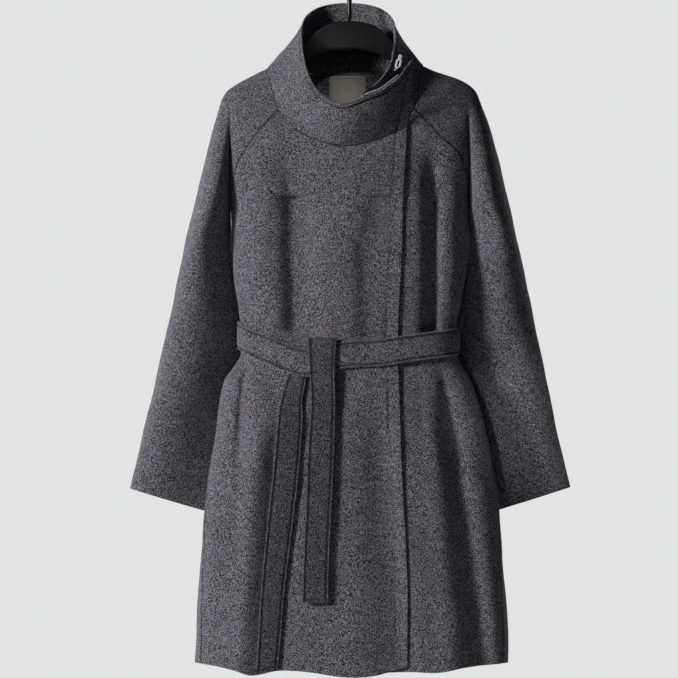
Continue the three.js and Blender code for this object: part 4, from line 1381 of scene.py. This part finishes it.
@dataclass
class Label:
    """The plain woven label inside the back of the neck."""

    left: float = -33.0
    right: float = 26.5
    top: float = -193.0
    bottom: float = -252.0
    thick: float = 0.8
    off: float = 0.3
    border: float = 4.0
    groove: tuple[float, float] = (0.3, 1.0)
    edges: tuple[str, ...] = ("left", "right", "top", "bottom")

    def build(self, satin: bpy.types.Material, thread: bpy.types.Material) -> None:
        """Makes the label and the stitching round it.

        Args:
            satin: The label's material.
            thread: The stitching's material.
        """
        u, v = spread(26, 26)
        grid = shoulder_point(mix(self.left, self.right, u), mix(self.top, self.bottom, v), False)
        grid[..., 1] -= CLOTH + self.off + self.thick
        cloth = Cloth("label_cloth", grid, self.thick)
        cloth = cloth.grooved({edge: [self.border] for edge in self.edges}, *self.groove)
        lines = []
        for edge in self.edges:
            points, normals = cloth.seam_path(edge, self.border, lift=0.12)
            lines.append((points[2:-2], normals[2:-2]))
        Thread(length=2.6, space=0.5, radius=0.38).sew("label_stitches", lines, thread)
        piece = settle(make_object(cloth.name, cloth.to_mesh(), satin), Body.COAT, "label_satin", "label")


@dataclass(frozen=True)
class PullTab:
    """The zip's pull: a flat tab with an eye at its upper end and a long slot below it."""

    wide: float = 8.4
    long: float = 24.0
    corner: float = 2.6
    top_share: float = 0.62
    foot_share: float = 0.8
    neck_share: float = 0.45
    neck: tuple[float, float, float] = (6.2, 9.5, 19.0)
    eye: float = 1.35
    eye_down: float = 3.0
    slot: float = 1.9
    slot_ends: tuple[float, float] = (11.0, 19.4)
    half: float = 0.35
    bevel: float = 0.4

    def outlines(self) -> list[Outline]:
        """The tab's edge, its eye and its slot, with the foot at zero and the eye's end at the top."""
        half, long, corner, slot = self.wide / 2, self.long, self.corner, self.slot
        turn = np.linspace(0, math.pi, 12)
        top = [(self.top_share * half * math.cos(a), long - corner + corner * math.sin(a)) for a in turn]
        foot = [(-self.foot_share * half * math.cos(a), corner - corner * math.sin(a)) for a in turn]
        narrow, wide, low = (long - down for down in self.neck)
        side = [(-self.neck_share * half, narrow), (-half, wide), (-half, low)]
        edge = top + side + foot + [(-x, y) for x, y in side[::-1]]
        middle = long - self.eye_down
        eye = [(self.eye * math.cos(2 * a), middle + self.eye * math.sin(2 * a)) for a in turn[:-1]]
        high, deep = (long - down for down in self.slot_ends)
        opening = [(slot * math.cos(a), high + slot * math.sin(a)) for a in turn]
        opening += [(-slot * math.cos(a), deep - slot * math.sin(a)) for a in turn]
        return [edge, eye, opening]


@dataclass
class Zip:
    """The zip's chain along the inside of the flap's rim, with its pull; its slider keeps its solid."""

    columns: float = 5 / 3
    to: float = 16 + 1 / 3
    wide: float = 24.0
    thick: float = 0.8
    proud: float = 1.6
    off: float = 0.4
    pitch: float = 2.1
    tooth_rise: float = 2.2
    tooth: tuple[float, float, float] = (1.3, 2.6, 1.5)
    slider: tuple[float, float] = (16.2, 0.955)
    tooth_round: float = 0.3
    tab: PullTab = PullTab()
    tab_off: tuple[float, float] = (2.1, 5.2)
    hangs: tuple[float, float, float] = (22.0, 34.0, 10.0)

    def frame_at(self, collar: Collar, place: float, rise: float) -> tuple[Grid, tuple[Grid, Grid, Grid]]:
        """A point behind the flap's rim and the directions there.

        Args:
            collar: The collar.
            place: The collar's station.
            rise: How far above the rim it is.

        Returns:
            The point of the tape's outer face, and the directions along, up and out of the collar.
        """
        tall = float(np.linalg.norm(collar.points(place, 1) - collar.points(place, 0)))
        height = 1 + rise / tall
        ways = collar.directions(place, height)
        return collar.points(place, height) - ways[2] * (CLOTH + self.off), ways

    def build(self, collar: Collar, tape: bpy.types.Material, steel: bpy.types.Material) -> None:
        """Makes the tape, its teeth and the pull, and dresses the slider.

        Args:
            collar: The collar that carries them.
            tape: The tape's material.
            steel: The metal's material.
        """
        places = np.linspace(self.to - self.columns, self.to, 60)
        rises = np.linspace(self.proud, self.proud - self.wide, 12)
        grid = np.stack(
            [np.stack([self.frame_at(collar, float(p), float(r))[0] for r in rises]) for p in places], axis=1
        )
        cloth = Cloth("zip_tape_cloth", grid, self.thick)
        piece = settle(make_object(cloth.name, cloth.to_mesh(), tape), Body.COAT, "zip_tape", "zip_tape")
        self.teeth(collar, steel)
        dress(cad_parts["zip_slider"], steel)
        settle(make_object("zip_pull_tab", self.pull(collar), steel), Body.PULL, "zip_steel", "zip_pull")

    def pull(self, collar: Collar) -> bpy.types.Mesh:
        """Makes the pull tab, which hangs from the slider.

        Args:
            collar: The collar that carries it.

        Returns:
            Its mesh.
        """
        mesh = plate("zip_pull_tab", self.tab.outlines(), self.tab.half, self.tab.bevel, 2)
        along, up, out = collar.directions(*self.slider)
        behind = CLOTH + 2 * self.off + self.thick + self.tab_off[0]
        foot = collar.points(*self.slider) - out * behind + up * self.tab_off[1]
        place = Matrix((along, up, out)).transposed().to_4x4()
        place.translation = Vector(foot) * MM
        sway, swing, lean = (math.radians(-angle) for angle in self.hangs)
        turned = Matrix.Rotation(lean, 4, "X") @ Matrix.Rotation(swing, 4, "Y")
        turned = turned @ Matrix.Rotation(sway, 4, "Z")
        mesh.transform(place @ turned)
        weld(mesh, 1e-6)
        return mesh

    def teeth(self, collar: Collar, steel: bpy.types.Material) -> None:
        """Makes the row of teeth along the tape, just above the flap's rim.

        Args:
            collar: The collar that carries them.
            steel: The metal's material.
        """
        work = bmesh.new()
        fine = np.linspace(self.to - self.columns + 0.02, self.to - 0.16, 200)
        line = np.stack([self.frame_at(collar, float(p), self.proud)[0] for p in fine])
        reach = np.r_[0, np.cumsum(np.linalg.norm(np.diff(line, axis=0), axis=1))]
        for at in np.arange(1.0, reach[-1], self.pitch):
            place = float(np.interp(at, reach, fine))
            rise = self.tooth_rise - float(collar.dipped(np.array(place)))
            spot, (along, up, out) = self.frame_at(collar, place, rise)
            turn = Matrix((along, up, out)).transposed().to_4x4()
            turn.translation = Vector(spot + out * 0.3) * MM
            size = Matrix.Diagonal((*(d * MM for d in self.tooth), 1.0))
            bmesh.ops.create_cube(work, size=1.0, matrix=turn @ size)
        rounding = self.tooth_round * MM
        edges = list(work.edges)
        bmesh.ops.bevel(work, geom=edges, offset=rounding, segments=2, affect="EDGES", profile=0.6)
        mesh = bpy.data.meshes.new("zip_teeth")
        work.to_mesh(mesh)
        work.free()
        settle(make_object("zip_teeth", mesh, steel), Body.COAT, "zip_steel")


def dress(node: bpy.types.Object, material: bpy.types.Material) -> None:
    """Gives a solid its material.

    Args:
        node: The node's object.
        material: The material.
    """
    node.data.materials.clear()
    node.data.materials.append(material)


@dataclass
class Hanger:
    """The plastic hanger: a rounded body and a bent bar for its hook."""

    thick: float = 11.0
    bevel: float = 2.5
    drop: float = 6.0
    tip: float = 190.0
    tip_tall: float = 20.0
    bar: float = 4.0
    inside: float = 18.0
    opening: float = 205.0
    foot: float = -103.7
    neck: float = 12.0
    start: float = -78.0
    kink: float = 0.9
    shoulder: float = 128.0
    sides: int = 24
    top: Track = Track("x z", [(0, -104), (22, -106), (44, -114), (70, -138), (98, -172), (118, -190)])
    bottom: Track = Track("x z", [(0, -150), (25, -152), (60, -165), (110, -200), (160, -231)])

    def outline(self) -> Outline:
        """The body's outline in the front view, inset by its rounding."""
        arms: list[Outline] = []
        for side in (1, -1):
            column = "right" if side > 0 else "left"
            across = SHOULDERS.columns[column]
            order = np.argsort(across)
            coat = Track("x z", np.stack([across[order], SHOULDERS.keys[order]], axis=1))
            places = np.linspace(self.top.ends[0], self.top.ends[1], 30)
            upper = [(side * x, float(self.top.at("z", x)) - self.bevel) for x in places]
            places = np.linspace(self.shoulder, self.tip, 18)
            reach = [(side * x, float(coat.at("z", side * x)) - self.drop - self.bevel) for x in places]
            end = (side * self.tip, float(coat.at("z", side * self.tip)) - self.drop - self.tip_tall)
            places = np.linspace(self.bottom.ends[1], self.bottom.ends[0], 30)
            lower = [(side * x, float(self.bottom.at("z", x)) + self.bevel) for x in places]
            arms.append(upper + reach + [end] + lower)
        return arms[0] + arms[1][::-1][1:-1]

    def body(self) -> bpy.types.Mesh:
        """The body's mesh."""
        flat = self.thick / 2 - self.bevel
        mesh = plate("hanger_body_moulded", [self.outline()], flat, self.bevel, 4)
        mesh.transform(Matrix.Rotation(math.pi / 2, 4, "X"))
        weld(mesh, 1e-6)
        return mesh

    def hook(self) -> bpy.types.Mesh:
        """The hook's mesh, a bar swept along its line."""
        radius = self.inside + self.bar
        neck_top = -self.inside - radius - self.neck
        line = [(0.0, z) for z in np.linspace(self.foot, neck_top, 12)]
        turned = np.radians(np.linspace(self.start, self.opening, 60))
        bend = [(radius * math.cos(a), -self.inside + radius * math.sin(a)) for a in turned]
        low, high = np.array([0.0, neck_top]), np.array(bend[0])
        swerve = np.array([self.kink, 0.0])
        shares = np.linspace(0.2, 0.8, 4)
        joint = [tuple(mix(low, high, t) + swerve * math.sin(math.pi * t)) for t in shares]
        path = np.array(line + joint + bend)
        way = unit(np.gradient(path, axis=0))
        side = np.stack([-way[:, 1], way[:, 0]], axis=1)
        turns = np.linspace(0, 2 * np.pi, self.sides, endpoint=False)
        girth = np.r_[0.55, 0.85, np.ones(len(path) - 5), 0.97, 0.8, 0.45] * self.bar
        spot = path[:, None, :] + side[:, None, :] * (girth[:, None] * np.cos(turns))[..., None]
        depth = girth[:, None] * np.sin(turns)
        points = np.stack([spot[..., 0], depth, spot[..., 1]], axis=-1).reshape(-1, 3) * MM
        mesh = bpy.data.meshes.new("hanger_hook_moulded")
        mesh.from_pydata(points.tolist(), [], tube_faces(len(path), self.sides))
        weld(mesh, 1e-7)
        return mesh

    def build(self, plastic: bpy.types.Material) -> None:
        """Makes the body and the hook."""
        for mesh, node in ((self.body(), "hanger_body"), (self.hook(), "hanger_hook")):
            settle(make_object(mesh.name, mesh, plastic), Body.COAT, "hanger_plastic", node)


# ---------- finishes ----------

# How light a melange cloth is between its flecks, how steeply it lightens, and how much painted shade
# darkens its seam grooves.
MELANGE_BASE = 0.3
MELANGE_POWER = 1.3
SEAM_SHADE_STRENGTH = 0.8
# How rough a wool's fuzz and its body are, and how much a wool and a plain surface reflect.
FUZZ_ROUGHNESS = 0.45
WOOL_DIFFUSE = 0.6
WOOL_GLOSS = 0.12
PLAIN_GLOSS = 0.5
# The places of a Mix node's colour sockets.
MIX_FACTOR, MIX_FIRST, MIX_SECOND, MIX_RESULT = 0, 6, 7, 2


class Bench:
    """Adds nodes to a node tree and joins them."""

    def __init__(self, tree: bpy.types.NodeTree) -> None:
        """Keeps the tree."""
        self.tree = tree

    def node(self, kind: str, **settings: object) -> bpy.types.Node:
        """Adds a node.

        Args:
            kind: The node's type, without its ShaderNode start.
            **settings: Its properties, and its inputs by name with _ for a space.

        Returns:
            The node.
        """
        name = kind if kind.startswith("NodeGroup") else "ShaderNode" + kind
        made = self.tree.nodes.new(name)
        for key, value in settings.items():
            if hasattr(made, key):
                setattr(made, key, value)
            else:
                self.feed(made.inputs[key.replace("_", " ")], value)
        return made

    def feed(self, socket: bpy.types.NodeSocket, value: object) -> None:
        """Gives an input a value, or joins an output to it."""
        if isinstance(value, bpy.types.NodeSocket):
            self.tree.links.new(value, socket)
        else:
            socket.default_value = value

    def math(self, operation: str, a: object, b: object = 0.0) -> bpy.types.NodeSocket:
        """The result of a sum on numbers."""
        made = self.tree.nodes.new("ShaderNodeMath")
        made.operation = operation
        self.feed(made.inputs[0], a)
        self.feed(made.inputs[1], b)
        return made.outputs[0]

    def weighed(self, *parts: tuple[bpy.types.NodeSocket, float]) -> bpy.types.NodeSocket:
        """The sum of some values, each times its weight."""
        total, *others = [self.math("MULTIPLY", value, weight) for value, weight in parts]
        for value in others:
            total = self.math("ADD", total, value)
        return total

    def noise(
        self, vector: bpy.types.NodeSocket, scale: object, detail: float, rough: float
    ) -> bpy.types.NodeSocket:
        """A noise's factor, from its place, its scale, how many octaves it has and how strong they are."""
        made = self.node("TexNoise", Vector=vector, Scale=scale, Detail=detail, Roughness=rough)
        return made.outputs["Factor"] if "Factor" in made.outputs else made.outputs["Fac"]

    def ramp(self, factor: bpy.types.NodeSocket, low: float, high: float) -> bpy.types.NodeSocket:
        """A factor stretched so that low gives 0 and high gives 1."""
        made = self.node("MapRange", Value=factor)
        for name, value in (("From Min", low), ("From Max", high)):
            made.inputs[name].default_value = value
        return made.outputs["Result"]


def new_group(
    name: str, inputs: dict[str, tuple[str, object]], outputs: dict[str, str]
) -> tuple[Bench, bpy.types.Node, bpy.types.Node]:
    """Starts a shader node group.

    Args:
        name: Its name.
        inputs: Each input's socket type and default.
        outputs: Each output's socket type.

    Returns:
        The group's bench, and the nodes that hold its inputs and its outputs.
    """
    tree = bpy.data.node_groups.new(name, "ShaderNodeTree")
    for label, (kind, default) in inputs.items():
        socket = tree.interface.new_socket(label, in_out="INPUT", socket_type=kind)
        if default is not None:
            socket.default_value = default
    for label, kind in outputs.items():
        tree.interface.new_socket(label, in_out="OUTPUT", socket_type=kind)
    return Bench(tree), tree.nodes.new("NodeGroupInput"), tree.nodes.new("NodeGroupOutput")


def melange_group() -> bpy.types.NodeTree:
    """The mixed fibres of a felted wool cloth: how light each spot is, with painted shade darkening the seam
    grooves, and how high its nap stands.
    """
    bench, inside, out = new_group(
        "melange",
        {
            "Vector": ("NodeSocketVector", None),
            "Grain": ("NodeSocketFloat", 380.0),
            "Contrast": ("NodeSocketFloat", 3.0),
            "Seam Shade": ("NodeSocketFloat", 0.0),
        },
        {"Light": "NodeSocketFloat", "Nap": "NodeSocketFloat"},
    )
    vector, grain = inside.outputs["Vector"], inside.outputs["Grain"]
    drawn = bench.node("Mapping", Vector=vector)
    drawn.inputs["Scale"].default_value = (1.0, 1.0, 0.8)
    flecks = bench.noise(drawn.outputs[0], grain, 1.0, 0.5)
    fibres = bench.node("Mapping", Vector=vector)
    fibres.inputs["Rotation"].default_value = (0.5, 0.4, 0.3)
    fibres.inputs["Scale"].default_value = (2.2, 1.4, 0.6)
    threads = bench.noise(fibres.outputs[0], grain, 1.0, 0.5)
    clouds = bench.noise(vector, 26.0, 3.0, 0.55)
    total = bench.weighed((flecks, 0.65), (threads, 0.32), (clouds, 0.03))
    swing = bench.math("MULTIPLY", bench.math("SUBTRACT", total, 0.5), inside.outputs["Contrast"])
    shade = bench.math("MAXIMUM", bench.math("ADD", swing, MELANGE_BASE), 0.0)
    # Painted shade: the seam grooves' mask darkens the colour.
    kept = bench.math("SUBTRACT", 1.0, bench.math("MULTIPLY", inside.outputs["Seam Shade"], SEAM_SHADE_STRENGTH))
    bench.feed(out.inputs["Light"], bench.math("MULTIPLY", bench.math("POWER", shade, MELANGE_POWER), kept))
    fine = bench.noise(vector, bench.math("MULTIPLY", grain, 2.0), 2.0, 0.6)
    bench.feed(out.inputs["Nap"], bench.weighed((flecks, 0.6), (fine, 0.4)))
    return bench.tree


def weave_group() -> bpy.types.NodeTree:
    """A plain weave over the UVs: how high its threads stand, and a shade of random cloudiness mixed with
    painted shade between the raised threads.
    """
    bench, inside, out = new_group(
        "weave",
        {"Vector": ("NodeSocketVector", None), "Threads": ("NodeSocketFloat", 2500.0)},
        {"Height": "NodeSocketFloat", "Shade": "NodeSocketFloat"},
    )
    parts = bench.node("SeparateXYZ", Vector=inside.outputs["Vector"])
    waves = []
    for axis in ("X", "Y"):
        turned = bench.math("MULTIPLY", parts.outputs[axis], inside.outputs["Threads"])
        waves.append(bench.math("ABSOLUTE", bench.math("SINE", turned)))
    height = bench.math("MULTIPLY", waves[0], waves[1])
    bench.feed(out.inputs["Height"], height)
    cloudy = bench.noise(inside.outputs["Vector"], 160.0, 3.0, 0.6)
    # Painted shade: the colour is lighter where the threads stand high and darker between them, mixed with
    # random cloudiness.
    bench.feed(out.inputs["Shade"], bench.weighed((height, 0.35), (cloudy, 0.65)))
    return bench.tree


def wear_group() -> bpy.types.NodeTree:
    """Fine handling marks on a hard surface: a mask and a height."""
    bench, inside, out = new_group(
        "wear",
        {"Vector": ("NodeSocketVector", None), "Scale": ("NodeSocketFloat", 120.0)},
        {"Mask": "NodeSocketFloat", "Height": "NodeSocketFloat"},
    )
    drawn = bench.node("Mapping", Vector=inside.outputs["Vector"])
    drawn.inputs["Scale"].default_value = (1.0, 1.0, 7.0)
    marks = bench.noise(drawn.outputs[0], inside.outputs["Scale"], 5.0, 0.6)
    bench.feed(out.inputs["Mask"], bench.ramp(marks, 0.45, 0.75))
    finer = bench.math("MULTIPLY", inside.outputs["Scale"], 12.0)
    bench.feed(out.inputs["Height"], bench.noise(inside.outputs["Vector"], finer, 2.0, 0.5))
    return bench.tree


@dataclass(frozen=True)
class Finish:
    """A surface's colours and how rough it is."""

    name: str
    dark: Colour
    light: Colour
    roughness: float
    sheen: float = 0.0
    metallic: float = 0.0
    bump: float = 0.3
    relief: float = 0.0004

    def start(self) -> tuple[Bench, bpy.types.Node, bpy.types.Node]:
        """Starts the material.

        Returns:
            Its bench, its shader and its texture coordinates.
        """
        material = bpy.data.materials.new(self.name)
        material.use_nodes = True
        bench = Bench(material.node_tree)
        shader = material.node_tree.nodes["Principled BSDF"]
        shader.inputs["Roughness"].default_value = self.roughness
        shader.inputs["Metallic"].default_value = self.metallic
        shader.inputs["Sheen Weight"].default_value = self.sheen
        shader.inputs["Sheen Roughness"].default_value = FUZZ_ROUGHNESS
        shader.inputs["Diffuse Roughness"].default_value = WOOL_DIFFUSE if self.sheen else 0.0
        shader.inputs["Specular IOR Level"].default_value = WOOL_GLOSS if self.sheen else PLAIN_GLOSS
        return bench, shader, bench.node("TexCoord")

    def colour(self, bench: Bench, shader: bpy.types.Node, factor: bpy.types.NodeSocket) -> None:
        """Mixes the finish's two colours by a factor.

        Args:
            bench: The material's bench.
            shader: Its shader.
            factor: The mixing factor.
        """
        blend = bench.node("Mix", data_type="RGBA", clamp_factor=True)
        bench.feed(blend.inputs[MIX_FACTOR], factor)
        bench.feed(blend.inputs[MIX_FIRST], (*self.dark, 1.0))
        bench.feed(blend.inputs[MIX_SECOND], (*self.light, 1.0))
        bench.feed(shader.inputs["Base Color"], blend.outputs[MIX_RESULT])

    def relieve(self, bench: Bench, shader: bpy.types.Node, height: bpy.types.NodeSocket) -> None:
        """Gives the surface its fine relief.

        Args:
            bench: The material's bench.
            shader: Its shader.
            height: The relief's height.
        """
        made = bench.node("Bump", Strength=self.bump, Distance=self.relief, Height=height)
        bench.feed(shader.inputs["Normal"], made.outputs["Normal"])


@dataclass(frozen=True)
class WoolFinish(Finish):
    """A felted melange wool, with painted shade in the seam grooves that its mesh marks."""

    grain: float = 820.0
    contrast: float = 3.0

    def make(self, melange: bpy.types.NodeTree) -> bpy.types.Material:
        """Makes the material."""
        bench, shader, coordinates = self.start()
        group = bench.node("Group", node_tree=melange)
        bench.feed(group.inputs["Vector"], coordinates.outputs["Object"])
        group.inputs["Grain"].default_value = self.grain
        group.inputs["Contrast"].default_value = self.contrast
        # The painted seam shade, read from the mesh's attribute.
        seams = bench.node("Attribute", attribute_name="seam_shade")
        bench.feed(group.inputs["Seam Shade"], seams.outputs["Fac"])
        self.colour(bench, shader, group.outputs["Light"])
        self.relieve(bench, shader, group.outputs["Nap"])
        return bpy.data.materials[self.name]


@dataclass(frozen=True)
class WovenFinish(Finish):
    """A woven tape or satin."""

    threads: float = 2500.0

    def make(self, weave: bpy.types.NodeTree) -> bpy.types.Material:
        """Makes the material."""
        bench, shader, coordinates = self.start()
        group = bench.node("Group", node_tree=weave)
        bench.feed(group.inputs["Vector"], coordinates.outputs["UV"])
        group.inputs["Threads"].default_value = self.threads
        # The colour follows the weave's shade, which is partly painted shade between the threads.
        self.colour(bench, shader, group.outputs["Shade"])
        self.relieve(bench, shader, group.outputs["Height"])
        return bpy.data.materials[self.name]


@dataclass(frozen=True)
class HardFinish(Finish):
    """A moulded plastic or a polished metal."""

    scale: float = 120.0
    spread: float = 0.12

    def make(self, wear: bpy.types.NodeTree) -> bpy.types.Material:
        """Makes the material."""
        bench, shader, coordinates = self.start()
        group = bench.node("Group", node_tree=wear)
        bench.feed(group.inputs["Vector"], coordinates.outputs["Object"])
        group.inputs["Scale"].default_value = self.scale
        self.colour(bench, shader, group.outputs["Mask"])
        rough = bench.math("MULTIPLY", group.outputs["Mask"], self.spread)
        bench.feed(shader.inputs["Roughness"], bench.math("ADD", rough, self.roughness))
        self.relieve(bench, shader, group.outputs["Height"])
        return bpy.data.materials[self.name]


WOOL = WoolFinish(
    "charcoal_wool",
    (0.016, 0.0155, 0.018),
    (0.42, 0.41, 0.46),
    0.9,
    sheen=0.1,
    bump=0.6,
    relief=0.0008,
    contrast=9.0,
)
# A darker copy of the wool for the belt's hanging ends: painted shade.
WOOL_PAINTED_SHADE = replace(
    WOOL,
    name="charcoal_wool_painted_shade",
    dark=(0.011, 0.0105, 0.0125),
    light=(0.25, 0.245, 0.272),
    sheen=0.06,
)
THREAD = WoolFinish(
    "charcoal_thread",
    (0.03, 0.03, 0.034),
    (0.10, 0.098, 0.11),
    0.7,
    sheen=0.1,
    bump=0.2,
    relief=0.0001,
    grain=1500.0,
)
SATIN = WovenFinish(
    "taupe_satin", (0.35, 0.34, 0.29), (0.51, 0.50, 0.43), 0.5, bump=0.35, relief=0.0001, threads=6000.0
)
SATIN_THREAD = WoolFinish(
    "taupe_thread", (0.10, 0.095, 0.08), (0.2, 0.19, 0.16), 0.5, bump=0.2, relief=0.0001, grain=1500.0
)
TAPE = WovenFinish(
    "black_tape", (0.008, 0.008, 0.009), (0.03, 0.03, 0.032), 0.75, bump=0.4, relief=0.0002, threads=3500.0
)
STEEL = HardFinish(
    "nickel",
    (0.97, 0.97, 0.97),
    (0.86, 0.86, 0.87),
    0.34,
    metallic=0.3,
    bump=0.05,
    relief=0.0001,
    scale=300.0,
)
PLASTIC = HardFinish(
    "black_plastic", (0.006, 0.006, 0.0065), (0.014, 0.014, 0.015), 0.34, bump=0.12, relief=0.0002
)


# ---------- the room ----------


@dataclass
class Studio:
    """A pale floor, soft lamps and the camera."""

    eye: tuple[float, float, float] = (-0.0173, -12.0, -0.6287)
    frame_width: float = 1.1187
    middle: tuple[float, float, float] = (0.0, 0.0, -0.6)
    floor_height: float = -1.45
    floor_radius: float = 2.3

    def floor(self) -> None:
        """Makes the floor, a wide disc well below the hem."""
        mesh = bpy.data.meshes.new("floor")
        work = bmesh.new()
        bmesh.ops.create_circle(work, cap_ends=True, radius=self.floor_radius, segments=96)
        work.to_mesh(mesh)
        work.free()
        material = bpy.data.materials.new("pale_floor")
        material.use_nodes = True
        shader = material.node_tree.nodes["Principled BSDF"]
        shader.inputs["Base Color"].default_value = (0.62, 0.62, 0.63, 1.0)
        shader.inputs["Roughness"].default_value = 0.8
        piece = make_object("floor", mesh, material)
        piece.location.z = self.floor_height

    def sky(self) -> None:
        """Lights the room softly from all round and makes its walls pale."""
        world = bpy.data.worlds.new("room")
        bpy.context.scene.world = world
        world.use_nodes = True
        bench = Bench(world.node_tree)
        seen = world.node_tree.nodes["Background"]
        seen.inputs["Color"].default_value = (0.77, 0.77, 0.775, 1.0)
        seen.inputs["Strength"].default_value = 1.0
        lit = bench.node("Background")
        lit.inputs["Color"].default_value = (0.9, 0.93, 1.0, 1.0)
        lit.inputs["Strength"].default_value = 0.014
        rays = bench.node("LightPath")
        blend = bench.node("MixShader")
        bench.feed(blend.inputs[0], rays.outputs["Is Camera Ray"])
        bench.feed(blend.inputs[1], lit.outputs[0])
        bench.feed(blend.inputs[2], seen.outputs[0])
        bench.feed(world.node_tree.nodes["World Output"].inputs["Surface"], blend.outputs[0])

    @staticmethod
    def hang(light: bpy.types.Light, spot: Sequence[float], aim: Sequence[float]) -> None:
        """Puts a light at a spot, turned to look at a point."""
        lamp = bpy.data.objects.new(light.name, light)
        lamp.location = spot
        lamp.rotation_euler = (Vector(aim) - Vector(spot)).to_track_quat("-Z", "Y").to_euler()
        bpy.context.scene.collection.objects.link(lamp)

    def lamp(self, name: str, spot: Sequence[float], size: float, power: float) -> None:
        """Adds a square soft lamp that looks at the coat's middle.

        Args:
            name: The lamp's name.
            spot: Where it is.
            size: Its side.
            power: Its power in watts.
        """
        light = bpy.data.lights.new(name, "AREA")
        light.size = size
        light.energy = power
        self.hang(light, spot, self.middle)

    def beam(
        self, name: str, spot: Sequence[float], aim: Sequence[float], wide: float, power: float
    ) -> None:
        """Adds a narrow soft beam.

        Args:
            name: The lamp's name.
            spot: Where it is.
            aim: The point it looks at.
            wide: How wide it opens, in degrees.
            power: Its power in watts.
        """
        light = bpy.data.lights.new(name, "SPOT")
        light.energy = power
        light.spot_size = math.radians(wide)
        light.spot_blend = 0.8
        light.shadow_soft_size = 0.04
        self.hang(light, spot, aim)

    def build(self) -> None:
        """Makes the room, its lamps and the camera."""
        self.floor()
        self.sky()
        self.lamp("key", (-4.7, -3.1, 0.9), 1.2, 305.0)
        self.lamp("fill", (0.6, -3.4, 0.9), 1.6, 1.5)
        self.beam("neck", (-0.253, -1.245, 0.635), (-0.003, 0.055, -0.225), 4.0, 36.0)
        self.beam("far_sleeve", (-1.2, -4.0, 0.1), (0.335, 0.02, -0.77), 4.0, 215.0)
        self.lamp("behind_left", (-1.9, 2.9, 0.8), 1.6, 50.0)
        self.lamp("behind_right", (1.9, 2.9, 0.5), 1.6, 34.0)
        lens = bpy.data.cameras.new("camera")
        lens.lens = lens.sensor_width * abs(self.eye[1]) / self.frame_width
        lens.clip_end = 60.0
        camera = bpy.data.objects.new("camera", lens)
        camera.location = self.eye
        camera.rotation_euler = (math.pi / 2, 0.0, 0.0)
        bpy.context.scene.collection.objects.link(camera)
        bpy.context.scene.camera = camera
        bpy.context.scene.view_settings.view_transform = "Standard"


def main() -> None:
    """Builds the finishes, the coat, the hanger and the room."""
    logging.basicConfig(level=logging.INFO, format="%(name)s %(message)s")
    melange, weave, wear = melange_group(), weave_group(), wear_group()
    wool, thread = WOOL.make(melange), THREAD.make(melange)
    CoatBody().build(wool, thread)
    Sleeves().build(wool)
    collar = Collar()
    collar.build(wool, thread)
    Belt().build(wool, WOOL_PAINTED_SHADE.make(melange), thread)
    Label().build(SATIN.make(weave), SATIN_THREAD.make(melange))
    Zip().build(collar, TAPE.make(weave), STEEL.make(wear))
    Hanger().build(PLASTIC.make(wear))
    Studio().build()


if __name__ == "__main__":
    main()
